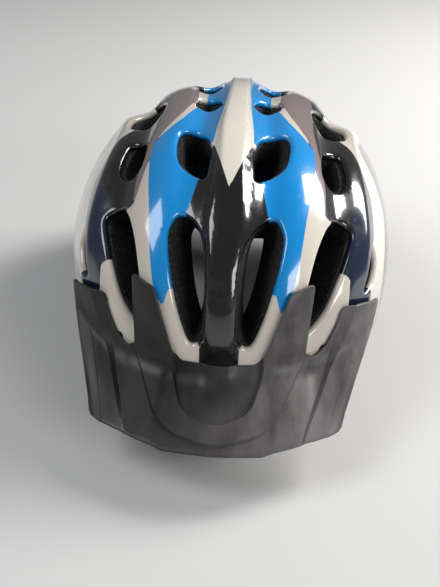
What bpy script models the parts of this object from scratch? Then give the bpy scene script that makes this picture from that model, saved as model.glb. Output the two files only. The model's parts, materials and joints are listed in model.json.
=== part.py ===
"""Cycling helmet: moulded shell over a foam liner, clip-on visor, dial-fit cradle and straps.

Everything is modelled in the head's frame (metres, front towards -Y, floor at z = 0)
and hangs from one empty that puts the middle of the whole object over the origin.
"""
import math

import bmesh
import bpy
from mathutils import Matrix, Vector

# ---- driving dimensions -------------------------------------------------------------
BODY_SHIFT = 0.0214          # moves the head's frame back, so the box is centred
CENTRE_Z = 0.058             # height of the dome's centre over the rim's lowest points

# half width, front, back, top, bottom, exponent
OUTER = (0.105, 0.138, 0.148, 0.0980, 0.100, 2.25)
CAVITY = (0.079, 0.108, 0.116, 0.070, 0.130, 2.2)

SHELL_WALL = 0.0012
GAP = 0.0003                 # clearance between pieces that touch
FOAM_INSET = SHELL_WALL + 0.0006
DOME_MESH, CAVITY_MESH = (32, 28), (32, 20)     # segments and rings
SHELL_EDGE_LIFT = 0.0025     # the foam reaches this much lower than the shell

CREST_HEIGHT, CREST_WIDTH = 0.0030, 4.0
VALLEY_DEPTH, VALLEY_WIDTH = 0.0042, 4.6
RECESS_DEPTH, RECESS_WIDTH = 0.0055, 6.0
RIB_HEIGHT, RIB_WIDTH = 0.0015, 4.0
RIB_ANGLE = 44.0

# centre line of each vent row: (angle over the head, angle to the side), degrees
INNER_ROW = [(0, 7.0), (12, 8.5), (30, 10.5), (60, 12.5), (95, 11), (125, 12), (170, 9)]
SIDE_ROW = [(0, 22), (10, 25), (26, 30), (37, 34), (60, 35), (120, 36), (150, 32), (170, 24)]

# vent outlines on the right half, same two angles, joined by a smooth closed curve
VENTS = {
    "front_inner": [(35, 12.5), (31, 14.8), (26, 14.4), (17, 12.3), (8, 9.8), (2.2, 7.4),
                    (3, 5.2), (8, 4.1), (15, 4.2), (24, 5.1), (31, 7.4)],
    "upper_inner": [(71, 14.5), (69, 18.6), (61, 18.4), (52.5, 15.6), (46.6, 8.2),
                    (52, 7.0), (59, 7.0), (67, 10)],
    "top_inner": [(91, 7), (90, 11), (93, 15.5), (101, 15.5), (103, 11), (98, 7)],
    "back_inner": [(115, 7.5), (113, 12), (117, 17), (130, 16), (137, 10.5), (128, 7.5)],
    "tail_inner": [(148, 5.5), (145, 10), (151, 16), (163, 14), (169, 8), (160, 5)],
    "front_side": [(37, 34), (34, 38), (26, 35.4), (16.5, 31), (8.5, 27), (3.5, 22.3),
                   (6.5, 20), (14.4, 21), (26, 24.4), (34, 29)],
    "upper_side": [(54, 30), (50, 35), (54, 38.6), (64, 39.6), (73, 38.4), (68, 32.4)],
    "back_side": [(92, 30), (88, 36), (93, 42), (108, 41.5), (116, 34), (105, 28.5)],
    "tail_side": [(134, 26), (130, 34), (136, 41), (149, 38), (158, 29), (148, 23)],
    "outer_slit": [(30, 46.6), (23, 49.4), (15, 46.5), (12.5, 41.5), (19, 43.2), (25, 45)],
    "outer_back": [(119, 51), (117, 56), (127, 61), (139, 56), (142, 50), (131, 48)],
}

# lower edge of the foam seen from the side: (y, z)
RIM = [(-0.165, 0.030), (-0.138, 0.024), (-0.112, 0.012), (-0.089, 0.000), (-0.075, 0.000),
       (-0.042, 0.010), (0.000, 0.023), (0.042, 0.014), (0.076, 0.000), (0.090, 0.000),
       (0.110, 0.014), (0.128, 0.036), (0.165, 0.046)]

# visor: per column, top (x, z) and brow (x, z) on the shell, brim (x, y, z), and how far
# along the brim the sunken middle plate reaches
VISOR_WALL = 0.0022
VISOR_CLEARANCE = 0.0019
VISOR_RISE = 0.0024
VISOR_ROWS = 9
VISOR = [
    ((0.000, 0.0530), (0.000, 0.049), (0.0000, -0.1900, 0.0320), 0.62),
    ((0.009, 0.0530), (0.009, 0.049), (0.0100, -0.1894, 0.0320), 0.60),
    ((0.017, 0.0530), (0.016, 0.049), (0.0195, -0.1880, 0.0315), 0.50),
    ((0.023, 0.0530), (0.022, 0.049), (0.0260, -0.1868, 0.0310), 0.25),
    ((0.0265, 0.058), (0.026, 0.049), (0.0300, -0.1858, 0.0310), -1.0),
    ((0.0375, 0.094), (0.030, 0.050), (0.0350, -0.1838, 0.0312), -1.0),
    ((0.044, 0.0965), (0.037, 0.050), (0.0410, -0.1812, 0.0315), -1.0),
    ((0.050, 0.0955), (0.044, 0.050), (0.0470, -0.1785, 0.0320), -1.0),
    ((0.0475, 0.056), (0.048, 0.050), (0.0510, -0.1765, 0.0322), -1.0),
    ((0.054, 0.0525), (0.054, 0.049), (0.0565, -0.1735, 0.0325), -1.0),
    ((0.061, 0.058), (0.060, 0.050), (0.0620, -0.1705, 0.0328), -1.0),
    ((0.066, 0.068), (0.066, 0.052), (0.0665, -0.1675, 0.0328), -1.0),
    ((0.069, 0.0775), (0.071, 0.055), (0.0700, -0.1645, 0.0325), -1.0),
    ((0.077, 0.0765), (0.078, 0.059), (0.0722, -0.1615, 0.0322), -1.0),
    ((0.084, 0.074), (0.084, 0.062), (0.0736, -0.1585, 0.0322), -1.0),
    ((0.0885, 0.072), (0.0885, 0.065), (0.0744, -0.1550, 0.0325), -1.0),
]
PEGS = {"left": (-0.060, 0.054), "right": (0.060, 0.054), "centre": (0.0, 0.040)}  # x, z
PEG_RADIUS, PEG_DEPTH = 0.0024, 0.009
SOCKET_RADIUS = 0.0042

# soft pads on the cavity wall: over-the-head range, sideways range, degrees
PADS = {
    "brow_pad": (-17, -6, -42, 42),
    "crown_pad": (62, 126, -6, 6),
    "upper_pad_left": (52, 120, -27.5, -20.5),
    "upper_pad_right": (52, 120, 20.5, 27.5),
    "side_pad_left": (52, 108, -64, -48),
    "side_pad_right": (52, 108, 48, 64),
    "rear_pad": (172, 186, -24, 24),
}
PAD_INSET, PAD_WALL = 0.0027, 0.0058
HOOK_INSET, HOOK_WALL = 0.0018, 0.0006

# fit cradle
BAND_Z, BAND_HEIGHT, BAND_WALL = 0.026, 0.010, 0.0016
RACK_HEIGHT = 0.0052
DIAL_Z = 0.0275
PIVOT = (0.0735, -0.025)      # hinge of each band, x and y
PIVOT_PIN_RADIUS = 0.0012
RACK_Y = 0.0950              # plane of the racks where they cross the pinion
HOUSING_HALF_X, HOUSING_LOW_Z, HOUSING_HIGH_Z = 0.024, DIAL_Z - 0.0145, DIAL_Z + 0.0145
COVER_Y, CHANNEL_BACK_Y, HOUSING_BACK_Y = RACK_Y - 0.0038, RACK_Y + 0.0040, RACK_Y + 0.0060
COVER_WALL = 0.0020
PINION_RADIUS, PINION_TEETH = 0.0046, 10
PINION_Y = (RACK_Y - 0.0028, RACK_Y + 0.0036)
SHAFT_RADIUS = 0.0022
KNOB_RADIUS, KNOB_LOBES = 0.0125, 12
KNOB_Y = (HOUSING_BACK_Y + GAP, HOUSING_BACK_Y + 0.0090)
SHAFT_END_Y = KNOB_Y[0] + 0.0050
SCREW_RADIUS, SCREW_HEAD_RADIUS = 0.0010, 0.0032

# straps
WEB_WIDTH, WEB_WALL = 0.015, 0.0012
WEB_Z = 0.0090                         # every strap is stowed at this height
DIVIDER = (0.0660, 0.002, WEB_Z)        # centre of each ear divider
DIVIDER_SIZE = (0.006, 0.022, 0.0160)
BUCKLE_CENTRE = Vector((0.0445, -0.0360, WEB_Z))
BUCKLE_HEADING = Vector((-0.37, -0.93, 0.0)).normalized()
FEMALE_LENGTH, MALE_GRIP, PRONG_LENGTH = 0.024, 0.010, 0.012
BUCKLE_HEIGHT, BUCKLE_WALL = 0.0165, 0.0085

SIDES = {"left": -1, "right": 1}


# ---- materials ----------------------------------------------------------------------
def finish(name, colour, roughness, metallic=0.0):
    material = bpy.data.materials.new(name)
    material.use_nodes = True
    shader = material.node_tree.nodes["Principled BSDF"]
    shader.inputs["Base Color"].default_value = (*colour, 1.0)
    shader.inputs["Roughness"].default_value = roughness
    shader.inputs["Metallic"].default_value = metallic
    material.diffuse_color = (*colour, 1.0)
    return material


# ---- scene helpers ------------------------------------------------------------------
def clear_scene():
    for thing in list(bpy.data.objects):
        bpy.data.objects.remove(thing)


def new_collection(name):
    collection = bpy.data.collections.new(name)
    bpy.context.scene.collection.children.link(collection)
    return collection


class Workshop:
    """Puts new objects in the right collection, under the frame's empty."""

    def __init__(self):
        self.parts = new_collection("cycling_helmet")
        self.tools = new_collection("cutters")
        self.frame = bpy.data.objects.new("head_frame", None)
        self.frame.location = (0.0, BODY_SHIFT, 0.0)
        self.parts.objects.link(self.frame)

    def add(self, name, mesh, material=None, origin=None):
        thing = bpy.data.objects.new(name, mesh)
        if origin is not None:
            mesh.transform(Matrix.Translation(-Vector(origin)))
            thing.location = origin
        thing.parent = self.frame
        if material is None:
            thing.hide_render = True
            thing.display_type = "WIRE"
            self.tools.objects.link(thing)
        else:
            mesh.materials.append(material)
            self.parts.objects.link(thing)
        return thing


def mesh_from(bm, name):
    bmesh.ops.recalc_face_normals(bm, faces=bm.faces)
    mesh = bpy.data.meshes.new(name)
    bm.to_mesh(mesh)
    bm.free()
    return mesh


def boolean(thing, other, operation="DIFFERENCE"):
    modifier = thing.modifiers.new(operation.lower(), "BOOLEAN")
    modifier.operation = operation
    modifier.object = other
    modifier.solver = "EXACT"


def solidify(thing, thickness, offset):
    modifier = thing.modifiers.new("wall", "SOLIDIFY")
    modifier.thickness = thickness
    modifier.offset = offset


def bevel(thing, width, segments=2):
    modifier = thing.modifiers.new("rounded", "BEVEL")
    modifier.width = width
    modifier.segments = segments
    modifier.limit_method = "ANGLE"


# ---- simple solids ------------------------------------------------------------------
def box_mesh(name, low, high, turn=0.0):
    low, high = Vector(low), Vector(high)
    bm = bmesh.new()
    bmesh.ops.create_cube(bm, size=1.0)
    bmesh.ops.scale(bm, vec=high - low, verts=bm.verts)
    bmesh.ops.rotate(bm, matrix=Matrix.Rotation(turn, 3, "Z"), verts=bm.verts)
    bmesh.ops.translate(bm, vec=(low + high) / 2, verts=bm.verts)
    return mesh_from(bm, name)


def rod_mesh(name, start, end, radius, sides=16):
    start, end = Vector(start), Vector(end)
    run = end - start
    bm = bmesh.new()
    bmesh.ops.create_cone(bm, cap_ends=True, segments=sides, radius1=radius,
                          radius2=radius, depth=run.length)
    turn = Vector((0, 0, 1)).rotation_difference(run)
    bmesh.ops.rotate(bm, matrix=turn.to_matrix(), verts=bm.verts)
    bmesh.ops.translate(bm, vec=(start + end) / 2, verts=bm.verts)
    return mesh_from(bm, name)


def lobed_mesh(name, centre, y_range, radius, depth, lobes, steps=2):
    """A disc about the Y axis whose rim swings between radius and radius - depth."""
    bm = bmesh.new()
    count = lobes * 2 * steps
    loops = []
    for y in y_range:
        loop = []
        for index in range(count):
            angle = 2 * math.pi * index / count
            reach = radius - depth * 0.5 * (1 - math.cos(lobes * angle))
            loop.append(bm.verts.new((centre[0] + reach * math.cos(angle), y,
                                      centre[1] + reach * math.sin(angle))))
        loops.append(loop)
    join_loops(bm, loops)
    return mesh_from(bm, name)


def join_loops(bm, loops):
    """Closes a stack of equal vertex loops into one capped body."""
    for lower, upper in zip(loops, loops[1:]):
        for index in range(len(lower)):
            after = (index + 1) % len(lower)
            bm.faces.new((lower[index], lower[after], upper[after], upper[index]))
    bm.faces.new(loops[0])
    bm.faces.new(loops[-1])


# ---- curves -------------------------------------------------------------------------
def spline(points, steps, closed=False):
    """Catmull-Rom curve through the points, as Vectors of any size."""
    points = [Vector(p) for p in points]
    count = len(points)
    result = []
    for index in range(count if closed else count - 1):
        if closed:
            p0, p1, p2, p3 = (points[(index + k) % count] for k in (-1, 0, 1, 2))
        else:
            p0, p1, p2, p3 = (points[min(max(index + k, 0), count - 1)]
                              for k in (-1, 0, 1, 2))
        for step in range(steps):
            t = step / steps
            result.append(0.5 * (2 * p1 + (p2 - p0) * t
                                 + (2 * p0 - 5 * p1 + 4 * p2 - p3) * t * t
                                 + (3 * p1 - p0 - 3 * p2 + p3) * t * t * t))
    if not closed:
        result.append(points[-1])
    return result


def interpolate(table, value):
    if value <= table[0][0]:
        return table[0][1]
    for (x0, y0), (x1, y1) in zip(table, table[1:]):
        if value <= x1:
            return y0 + (y1 - y0) * (value - x0) / (x1 - x0)
    return table[-1][1]


def smooth(value, low, high):
    t = min(max((value - low) / (high - low), 0.0), 1.0)
    return t * t * (3 - 2 * t)


def bell(value, width):
    return math.exp(-(value / width) ** 2)


# ---- the dome -----------------------------------------------------------------------
def heading(over, side):
    """Direction from the dome's centre: over the head from the brow, and sideways."""
    over, side = math.radians(over), math.radians(side)
    return Vector((math.sin(side), -math.cos(side) * math.cos(over),
                   math.cos(side) * math.sin(over)))


def reach(direction, size):
    half, front, back, top, bottom, power = size
    x = abs(direction.x) / half
    y = abs(direction.y) / (front if direction.y < 0 else back)
    z = abs(direction.z) / (top if direction.z > 0 else bottom)
    return (x ** power + y ** power + z ** power) ** (-1 / power)


def relief(direction):
    """Height of the crest, ribs and vent valleys over the plain dome."""
    over = math.degrees(math.atan2(direction.z, -direction.y))
    side = abs(math.degrees(math.asin(max(-1.0, min(1.0, direction.x)))))
    if over < -90:
        over += 360
    lift = CREST_HEIGHT * bell(side, CREST_WIDTH)
    lift -= VALLEY_DEPTH * bell(side - interpolate(INNER_ROW, over), VALLEY_WIDTH)
    lift -= RECESS_DEPTH * bell(side - interpolate(SIDE_ROW, over), RECESS_WIDTH)
    lift += RIB_HEIGHT * bell(side - RIB_ANGLE, RIB_WIDTH)
    return lift * smooth(over, -10, 8) * (1 - smooth(over, 162, 178))


def dome_point(direction, inset=0.0, size=OUTER, with_relief=True):
    distance = reach(direction, size) - inset
    if with_relief:
        distance += relief(direction)
    return Vector((0, 0, CENTRE_Z)) + direction * distance


def dome_mesh(name, counts, inset, size, with_relief):
    bm = bmesh.new()
    bmesh.ops.create_uvsphere(bm, u_segments=counts[0], v_segments=counts[1], radius=1.0)
    bmesh.ops.rotate(bm, matrix=Matrix.Rotation(math.pi / 2, 3, "Y"), verts=bm.verts)
    for vertex in bm.verts:
        vertex.co = dome_point(vertex.co.normalized(), inset, size, with_relief)
    bmesh.ops.triangulate(bm, faces=bm.faces, quad_method="FIXED")
    return mesh_from(bm, name)


def ring_point(azimuth, z, size, inset):
    """Point on the wall at height z; azimuth 0 is the front, 90 the wearer's left (+X)."""
    half, front, back, top, bottom, power = size
    span = top if z > CENTRE_Z else bottom
    shrink = (1 - (abs(z - CENTRE_Z) / span) ** power) ** (1 / power)
    a = math.radians(azimuth)
    dx, dy = math.sin(a), -math.cos(a)
    depth = front if dy < 0 else back
    radius = ((abs(dx) / (half * shrink)) ** power
              + (abs(dy) / (depth * shrink)) ** power) ** (-1 / power)
    return Vector((dx * (radius - inset), dy * (radius - inset), z))


def vent_cutters(shop):
    bm = bmesh.new()
    for outline in VENTS.values():
        for sign in (-1, 1):
            curve = spline(outline, 1, closed=True)
            rays = [heading(p[0], sign * p[1]) for p in curve]
            middle = sum(rays, Vector()) / len(rays)
            loops = []
            for factor in (0.50, 1.10):
                loops.append([bm.verts.new(Vector((0, 0, CENTRE_Z))
                                           + ray * factor * reach(ray, OUTER))
                              for ray in rays])
            caps = [bm.verts.new(Vector((0, 0, CENTRE_Z)) + middle * factor
                                 * reach(middle, OUTER)) for factor in (0.50, 1.12)]
            for index in range(len(rays)):
                after = (index + 1) % len(rays)
                bm.faces.new((loops[0][index], loops[0][after],
                              loops[1][after], loops[1][index]))
                for loop, cap in zip(loops, caps):
                    bm.faces.new((loop[index], loop[after], cap))
    return shop.add("vent_cutters", mesh_from(bm, "vent_cutters"))


def rim_cutter(shop, name, raised):
    """A block under the wavy lower edge, as wide as the helmet."""
    edge = spline(RIM, 3)
    outline = [(p[0], max(p[1], 0.0) + raised) for p in edge]
    outline += [(edge[-1][0], -0.08), (edge[0][0], -0.08)]
    bm = bmesh.new()
    loops = [[bm.verts.new((x, y, z)) for y, z in outline] for x in (-0.13, 0.13)]
    join_loops(bm, loops)
    return shop.add(name, mesh_from(bm, name))


# ---- shell and foam -----------------------------------------------------------------
def outer_shell(shop, looks, vents, pockets):
    shell = shop.add("outer_shell", dome_mesh("outer_shell", DOME_MESH, 0.0, OUTER, True),
                     looks["shell"])
    inside = shop.add("shell_inside", dome_mesh("shell_inside", DOME_MESH, SHELL_WALL, OUTER, True))
    boolean(shell, inside)
    boolean(shell, rim_cutter(shop, "shell_rim_cutter", SHELL_EDGE_LIFT))
    boolean(shell, vents)
    boolean(shell, pockets)
    return shell


def foam_liner(shop, looks, vents, pockets):
    foam = shop.add("foam_liner", dome_mesh("foam_liner", DOME_MESH, FOAM_INSET, OUTER, True),
                    looks["foam"])
    cavity = shop.add("head_cavity", dome_mesh("head_cavity", CAVITY_MESH, 0.0, CAVITY, False))
    boolean(foam, cavity)
    boolean(foam, rim_cutter(shop, "foam_rim_cutter", 0.0))
    boolean(foam, vents)
    boolean(foam, pockets)
    return foam


# ---- visor --------------------------------------------------------------------------
def shell_at(x, z, clearance):
    """Point in front of the shell at width x and height z."""
    low, high = 0.02, 0.16
    for _ in range(40):
        y = (low + high) / 2
        ray = Vector((x, -y, z - CENTRE_Z))
        inside = ray.length < reach(ray.normalized(), OUTER) + relief(ray.normalized())
        low, high = (y, high) if inside else (low, y)
    ray = Vector((x, -low, z - CENTRE_Z)).normalized()
    return dome_point(ray, -clearance)


def visor_path(column, sign):
    (top_x, top_z), (brow_x, brow_z), brim, plate_end = column
    clearance = VISOR_CLEARANCE + VISOR_WALL
    path = []
    for step in range(7):
        t = step / 6
        path.append(shell_at(top_x + (brow_x - top_x) * t, top_z + (brow_z - top_z) * t,
                             clearance))
    brow = path[-1]
    for step in range(1, 13):
        path.append(brow.lerp(Vector(brim), step / 12))
    lengths = [0.0]
    for p, q in zip(path, path[1:]):
        lengths.append(lengths[-1] + (q - p).length)
    on_shell = lengths[6]
    rows = []
    for row in range(VISOR_ROWS + 1):
        target = lengths[-1] * row / VISOR_ROWS
        index = max(i for i, value in enumerate(lengths[:-1]) if value <= target + 1e-9)
        span = lengths[index + 1] - lengths[index]
        point = path[index].lerp(path[index + 1], (target - lengths[index]) / span)
        along = (target - on_shell) / (lengths[-1] - on_shell)
        rise = VISOR_RISE * smooth(along, plate_end, plate_end + 0.08)
        rise *= smooth(along, -0.05, 0.12)
        point = point + Vector((0, -0.35, 0.94)) * rise
        rows.append(Vector((sign * point.x, point.y, point.z)))
    return rows


def visor(shop, looks):
    columns = [visor_path(column, -1) for column in reversed(VISOR[1:])]
    columns += [visor_path(column, 1) for column in VISOR]
    bm = bmesh.new()
    grid = [[bm.verts.new(point) for point in column] for column in columns]
    for left, right in zip(grid, grid[1:]):
        for row in range(VISOR_ROWS):
            bm.faces.new((left[row], left[row + 1], right[row + 1], right[row]))
    for face in bm.faces:
        face.normal_update()
    mesh = bpy.data.meshes.new("visor")
    bm.to_mesh(mesh)
    bm.free()
    brim = shop.add("visor", mesh, looks["visor"])
    solidify(brim, VISOR_WALL, -1.0)
    return brim


def peg_face(x, z):
    """Where a peg meets the visor's inner face, just off the shell."""
    return shell_at(x, z, VISOR_CLEARANCE - GAP).y


def visor_pegs(shop, looks):
    for name, (x, z) in PEGS.items():
        front = peg_face(x, z) + 0.0012
        shop.add("visor_peg_" + name,
                 rod_mesh("visor_peg_" + name, (x, front, z), (x, front + PEG_DEPTH, z),
                          PEG_RADIUS, 14), looks["plastic"])
        start = front + 0.0050
        socket = shop.add("visor_socket_" + name,
                          rod_mesh("visor_socket_" + name, (x, start, z),
                                   (x, start + 0.010, z), SOCKET_RADIUS, 14),
                          looks["plastic"])
        bore = shop.add("peg_bore_" + name,
                        rod_mesh("peg_bore_" + name, (x, start - 0.001, z),
                                 (x, start + 0.0075, z), PEG_RADIUS + 2 * GAP, 14))
        boolean(socket, bore)


# ---- pads ---------------------------------------------------------------------------
def cavity_patch(shop, name, ranges, inset, wall, material, columns, rows):
    over0, over1, side0, side1 = ranges
    bm = bmesh.new()
    grid = []
    for i in range(columns + 1):
        u = 2 * i / columns - 1
        line = []
        for j in range(rows + 1):
            v = 2 * j / rows - 1
            over = (over0 + over1) / 2 + (over1 - over0) / 2 * v * (1 - 0.14 * u ** 4)
            side = (side0 + side1) / 2 + (side1 - side0) / 2 * u * (1 - 0.14 * v ** 4)
            line.append(bm.verts.new(dome_point(heading(over, side), inset, CAVITY, False)))
        grid.append(line)
    for left, right in zip(grid, grid[1:]):
        for j in range(rows):
            bm.faces.new((left[j], right[j], right[j + 1], left[j + 1]))
    mesh = bpy.data.meshes.new(name)
    bm.to_mesh(mesh)
    bm.free()
    patch = shop.add(name, mesh, material)
    solidify(patch, wall, -1.0)
    return patch


def pads(shop, looks):
    for name, ranges in PADS.items():
        over0, over1, side0, side1 = ranges
        long_way = (side1 - side0) > (over1 - over0)
        columns, rows = (12, 3) if long_way else (3, 10)
        cavity_patch(shop, name, ranges, PAD_INSET, PAD_WALL, looks["pad"], columns, rows)
        over, side = (over0 + over1) / 2, (side0 + side1) / 2
        half = min(over1 - over0, side1 - side0) * 0.35
        cavity_patch(shop, name.replace("pad", "hook"),
                     (over - half, over + half, side - half, side + half),
                     HOOK_INSET, HOOK_WALL, looks["hook"], 2, 2)


# ---- flat bands and webbing ---------------------------------------------------------
def ribbon_mesh(name, path, heights, wall):
    """A flat band that stands on edge along the path; heights are full widths along Z."""
    bm = bmesh.new()
    loops = []
    for index, point in enumerate(path):
        before = path[max(index - 1, 0)]
        after = path[min(index + 1, len(path) - 1)]
        run = (after - before).normalized()
        out = Vector((run.y, -run.x, 0)).normalized() * wall / 2
        up = out.cross(run).normalized() * heights[index] / 2
        loops.append([bm.verts.new(point + out + up), bm.verts.new(point - out + up),
                      bm.verts.new(point - out - up), bm.verts.new(point + out - up)])
    join_loops(bm, loops)
    return mesh_from(bm, name)


def band_path(sign):
    """From the temple hinge round to the far side of the pinion, upper or lower rack."""
    rack_z = DIAL_Z - sign * (PINION_RADIUS + 0.0004 + RACK_HEIGHT / 2)
    points = [Vector((PIVOT[0] - 0.0004, PIVOT[1] + 0.0035, BAND_Z)),
              Vector((0.0722, -0.008, BAND_Z))]
    for azimuth in (105, 121, 135):
        points.append(ring_point(azimuth, BAND_Z, CAVITY, 0.0068))
    slope = -0.05
    for x in (0.043, 0.036, 0.030, -0.006):
        points.append(Vector((x, RACK_Y + slope * (x - 0.002), rack_z)))
    heights = [BAND_HEIGHT] * 5 + [RACK_HEIGHT] * 4
    path = spline([(p.x, p.y, p.z, h) for p, h in zip(points, heights)], 3)
    return [Vector((sign * p[0], p[1], p[2])) for p in path], [p[3] for p in path]


def bands(shop, looks):
    for name, sign in SIDES.items():
        path, heights = band_path(sign)
        hinge = (sign * PIVOT[0], PIVOT[1], BAND_Z)
        band = shop.add("band_" + name, ribbon_mesh("band_" + name, path, heights,
                                                    BAND_WALL), looks["plastic"], hinge)
        low, high = BAND_Z - BAND_HEIGHT / 2, BAND_Z + BAND_HEIGHT / 2
        axis = (hinge[0], hinge[1])
        eye = shop.add("band_eye_" + name, rod_mesh("band_eye_" + name, (*axis, low),
                                                    (*axis, high), 0.0036, 18))
        bore = shop.add("band_bore_" + name, rod_mesh("band_bore_" + name,
                                                      (*axis, low - 0.001),
                                                      (*axis, high + 0.001),
                                                      PIVOT_PIN_RADIUS + GAP, 14))
        boolean(band, eye, "UNION")
        boolean(band, bore)


def temple_anchors(shop, looks):
    for name, sign in SIDES.items():
        x, y = sign * PIVOT[0], PIVOT[1]
        inner, outer = sorted((sign * 0.0698, sign * 0.0815))
        block = shop.add("temple_anchor_" + name,
                         box_mesh("temple_anchor_" + name, (inner, y - 0.007, BAND_Z - 0.010),
                                  (outer, y + 0.007, BAND_Z + 0.010)), looks["plastic"])
        slot_low, slot_high = sorted((sign * 0.060, sign * 0.0779))
        slot = shop.add("anchor_slot_" + name,
                        box_mesh("anchor_slot_" + name,
                                 (slot_low, y - 0.0045, BAND_Z - BAND_HEIGHT / 2 - 0.0006),
                                 (slot_high, y + 0.020, BAND_Z + BAND_HEIGHT / 2 + 0.0006)))
        bore = shop.add("anchor_bore_" + name,
                        rod_mesh("anchor_bore_" + name, (x, y, BAND_Z - 0.0085),
                                 (x, y, BAND_Z + 0.020), PIVOT_PIN_RADIUS + GAP, 14))
        boolean(block, slot)
        boolean(block, bore)
        shop.add("temple_pin_" + name,
                 rod_mesh("temple_pin_" + name, (x, y, BAND_Z - 0.0080),
                          (x, y, BAND_Z + 0.0098), PIVOT_PIN_RADIUS, 14), looks["steel"])


# ---- dial unit ----------------------------------------------------------------------
def dial_unit(shop, looks):
    half = HOUSING_HALF_X

    def rod(name, y_start, y_end, radius, sides=16):
        return rod_mesh(name, (0, y_start, DIAL_Z), (0, y_end, DIAL_Z), radius, sides)

    housing = shop.add("dial_housing",
                       box_mesh("dial_housing", (-half, COVER_Y, HOUSING_LOW_Z),
                                (half, HOUSING_BACK_Y, HOUSING_HIGH_Z)), looks["plastic"])
    channel = shop.add("rack_channel",
                       box_mesh("rack_channel",
                                (-half - 0.01, COVER_Y - 0.01, HOUSING_LOW_Z + 0.0022),
                                (half + 0.01, CHANNEL_BACK_Y, HOUSING_HIGH_Z - 0.0022)))
    boolean(housing, channel)
    boolean(housing, shop.add("shaft_hole", rod("shaft_hole", RACK_Y, KNOB_Y[1],
                                                SHAFT_RADIUS + 2 * GAP)))
    cover = shop.add("dial_cover",
                     box_mesh("dial_cover", (-half, COVER_Y - COVER_WALL, HOUSING_LOW_Z),
                              (half, COVER_Y - GAP, HOUSING_HIGH_Z)), looks["plastic"])
    bevel(cover, 0.0004, 1)

    pinion = shop.add("dial_pinion",
                      lobed_mesh("dial_pinion", (0, DIAL_Z), PINION_Y, PINION_RADIUS,
                                 0.0010, PINION_TEETH, 2), looks["plastic"],
                      (0, RACK_Y, DIAL_Z))
    boolean(pinion, shop.add("pinion_shaft", rod("pinion_shaft", RACK_Y, SHAFT_END_Y,
                                                 SHAFT_RADIUS)), "UNION")
    boolean(pinion, shop.add("pinion_bore", rod("pinion_bore", RACK_Y - 0.0015,
                                                KNOB_Y[1], SCREW_RADIUS + GAP, 12)))
    knob = shop.add("dial_knob", lobed_mesh("dial_knob", (0, DIAL_Z), KNOB_Y, KNOB_RADIUS,
                                            0.0009, KNOB_LOBES, 2), looks["knob"],
                    (0, KNOB_Y[0], DIAL_Z))
    bevel(knob, 0.0006, 1)
    cuts = (("knob_bore", KNOB_Y[0] - 0.002, KNOB_Y[1] + 0.002, SHAFT_RADIUS + GAP),
            ("knob_spring_seat", KNOB_Y[0] - 0.002, KNOB_Y[0] + 0.0014, 0.0092),
            ("knob_screw_seat", SHAFT_END_Y + 0.0002, KNOB_Y[1] + 0.002,
             SCREW_HEAD_RADIUS + GAP))
    for name, start, end, radius in cuts:
        boolean(knob, shop.add(name, rod(name, start, end, radius, 20)))
    spring_y = KNOB_Y[0] + 0.0001
    spring = shop.add("detent_spring", lobed_mesh("detent_spring", (0, DIAL_Z),
                                                  (spring_y, spring_y + 0.0008), 0.0086,
                                                  0.0014, 6, 3), looks["steel"])
    boolean(spring, shop.add("spring_hole", rod("spring_hole", spring_y - 0.001,
                                                spring_y + 0.002, 0.0040, 20)))
    head_y = SHAFT_END_Y + 0.0005
    screw = shop.add("dial_screw", rod("dial_screw", head_y, head_y + 0.0018,
                                       SCREW_HEAD_RADIUS), looks["steel"])
    boolean(screw, shop.add("screw_shank", rod("screw_shank", RACK_Y - 0.0008,
                                               head_y + 0.001, SCREW_RADIUS, 12)), "UNION")
    for name, sign in SIDES.items():
        low, high = sorted((sign * 0.0050, sign * 0.0225))
        back = COVER_Y - COVER_WALL - GAP
        pad = shop.add("nape_pad_" + name,
                       box_mesh("nape_pad_" + name,
                                (low, back - 0.0050, HOUSING_LOW_Z + 0.001),
                                (high, back, HOUSING_HIGH_Z - 0.001)), looks["pad"])
        bevel(pad, 0.0012, 1)


# ---- straps -------------------------------------------------------------------------
STRAP_ANCHORS = {"front": 28.0, "rear": 148.0}      # azimuth of each anchor in the rim
ANCHOR_SIZE = (0.0050, 0.0060, 0.0155)
ANCHOR_INSET = 0.0048


def anchor_place(which, sign):
    place = ring_point(STRAP_ANCHORS[which], WEB_Z, CAVITY, ANCHOR_INSET)
    return Vector((sign * place.x, place.y, place.z))


def strap_anchors(shop, looks):
    for which, azimuth in STRAP_ANCHORS.items():
        for name, sign in SIDES.items():
            place = anchor_place(which, sign)
            half = Vector(ANCHOR_SIZE) / 2
            label = "strap_anchor_" + which + "_" + name
            anchor = shop.add(label, box_mesh(label, place - half, place + half,
                                              sign * math.radians(azimuth - 90)),
                              looks["plastic"])
            bevel(anchor, 0.0006, 1)


def upper_straps(shop, looks):
    """Front and rear webbing of each side, from the anchor in the liner to the divider."""
    dx, dy, dz = DIVIDER
    for which, direction in (("front", -1), ("rear", 1)):
        place = anchor_place(which, 1)
        end = Vector((dx, dy + direction * (DIVIDER_SIZE[1] / 2 + GAP), dz))
        toward = ring_point(STRAP_ANCHORS[which] - direction * 8, WEB_Z, CAVITY,
                            ANCHOR_INSET) - place
        start = place + toward.normalized() * (ANCHOR_SIZE[1] / 2 + 2 * GAP)
        points = [start, start + toward.normalized() * 0.008,
                  end + Vector((-0.0010, direction * 0.014, 0)), end]
        for name, sign in SIDES.items():
            path = [Vector((sign * p[0], p[1], p[2])) for p in spline(points, 4)]
            label = which + "_strap_" + name
            shop.add(label, ribbon_mesh(label, path, [WEB_WIDTH] * len(path), WEB_WALL),
                     looks["webbing"])


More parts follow.
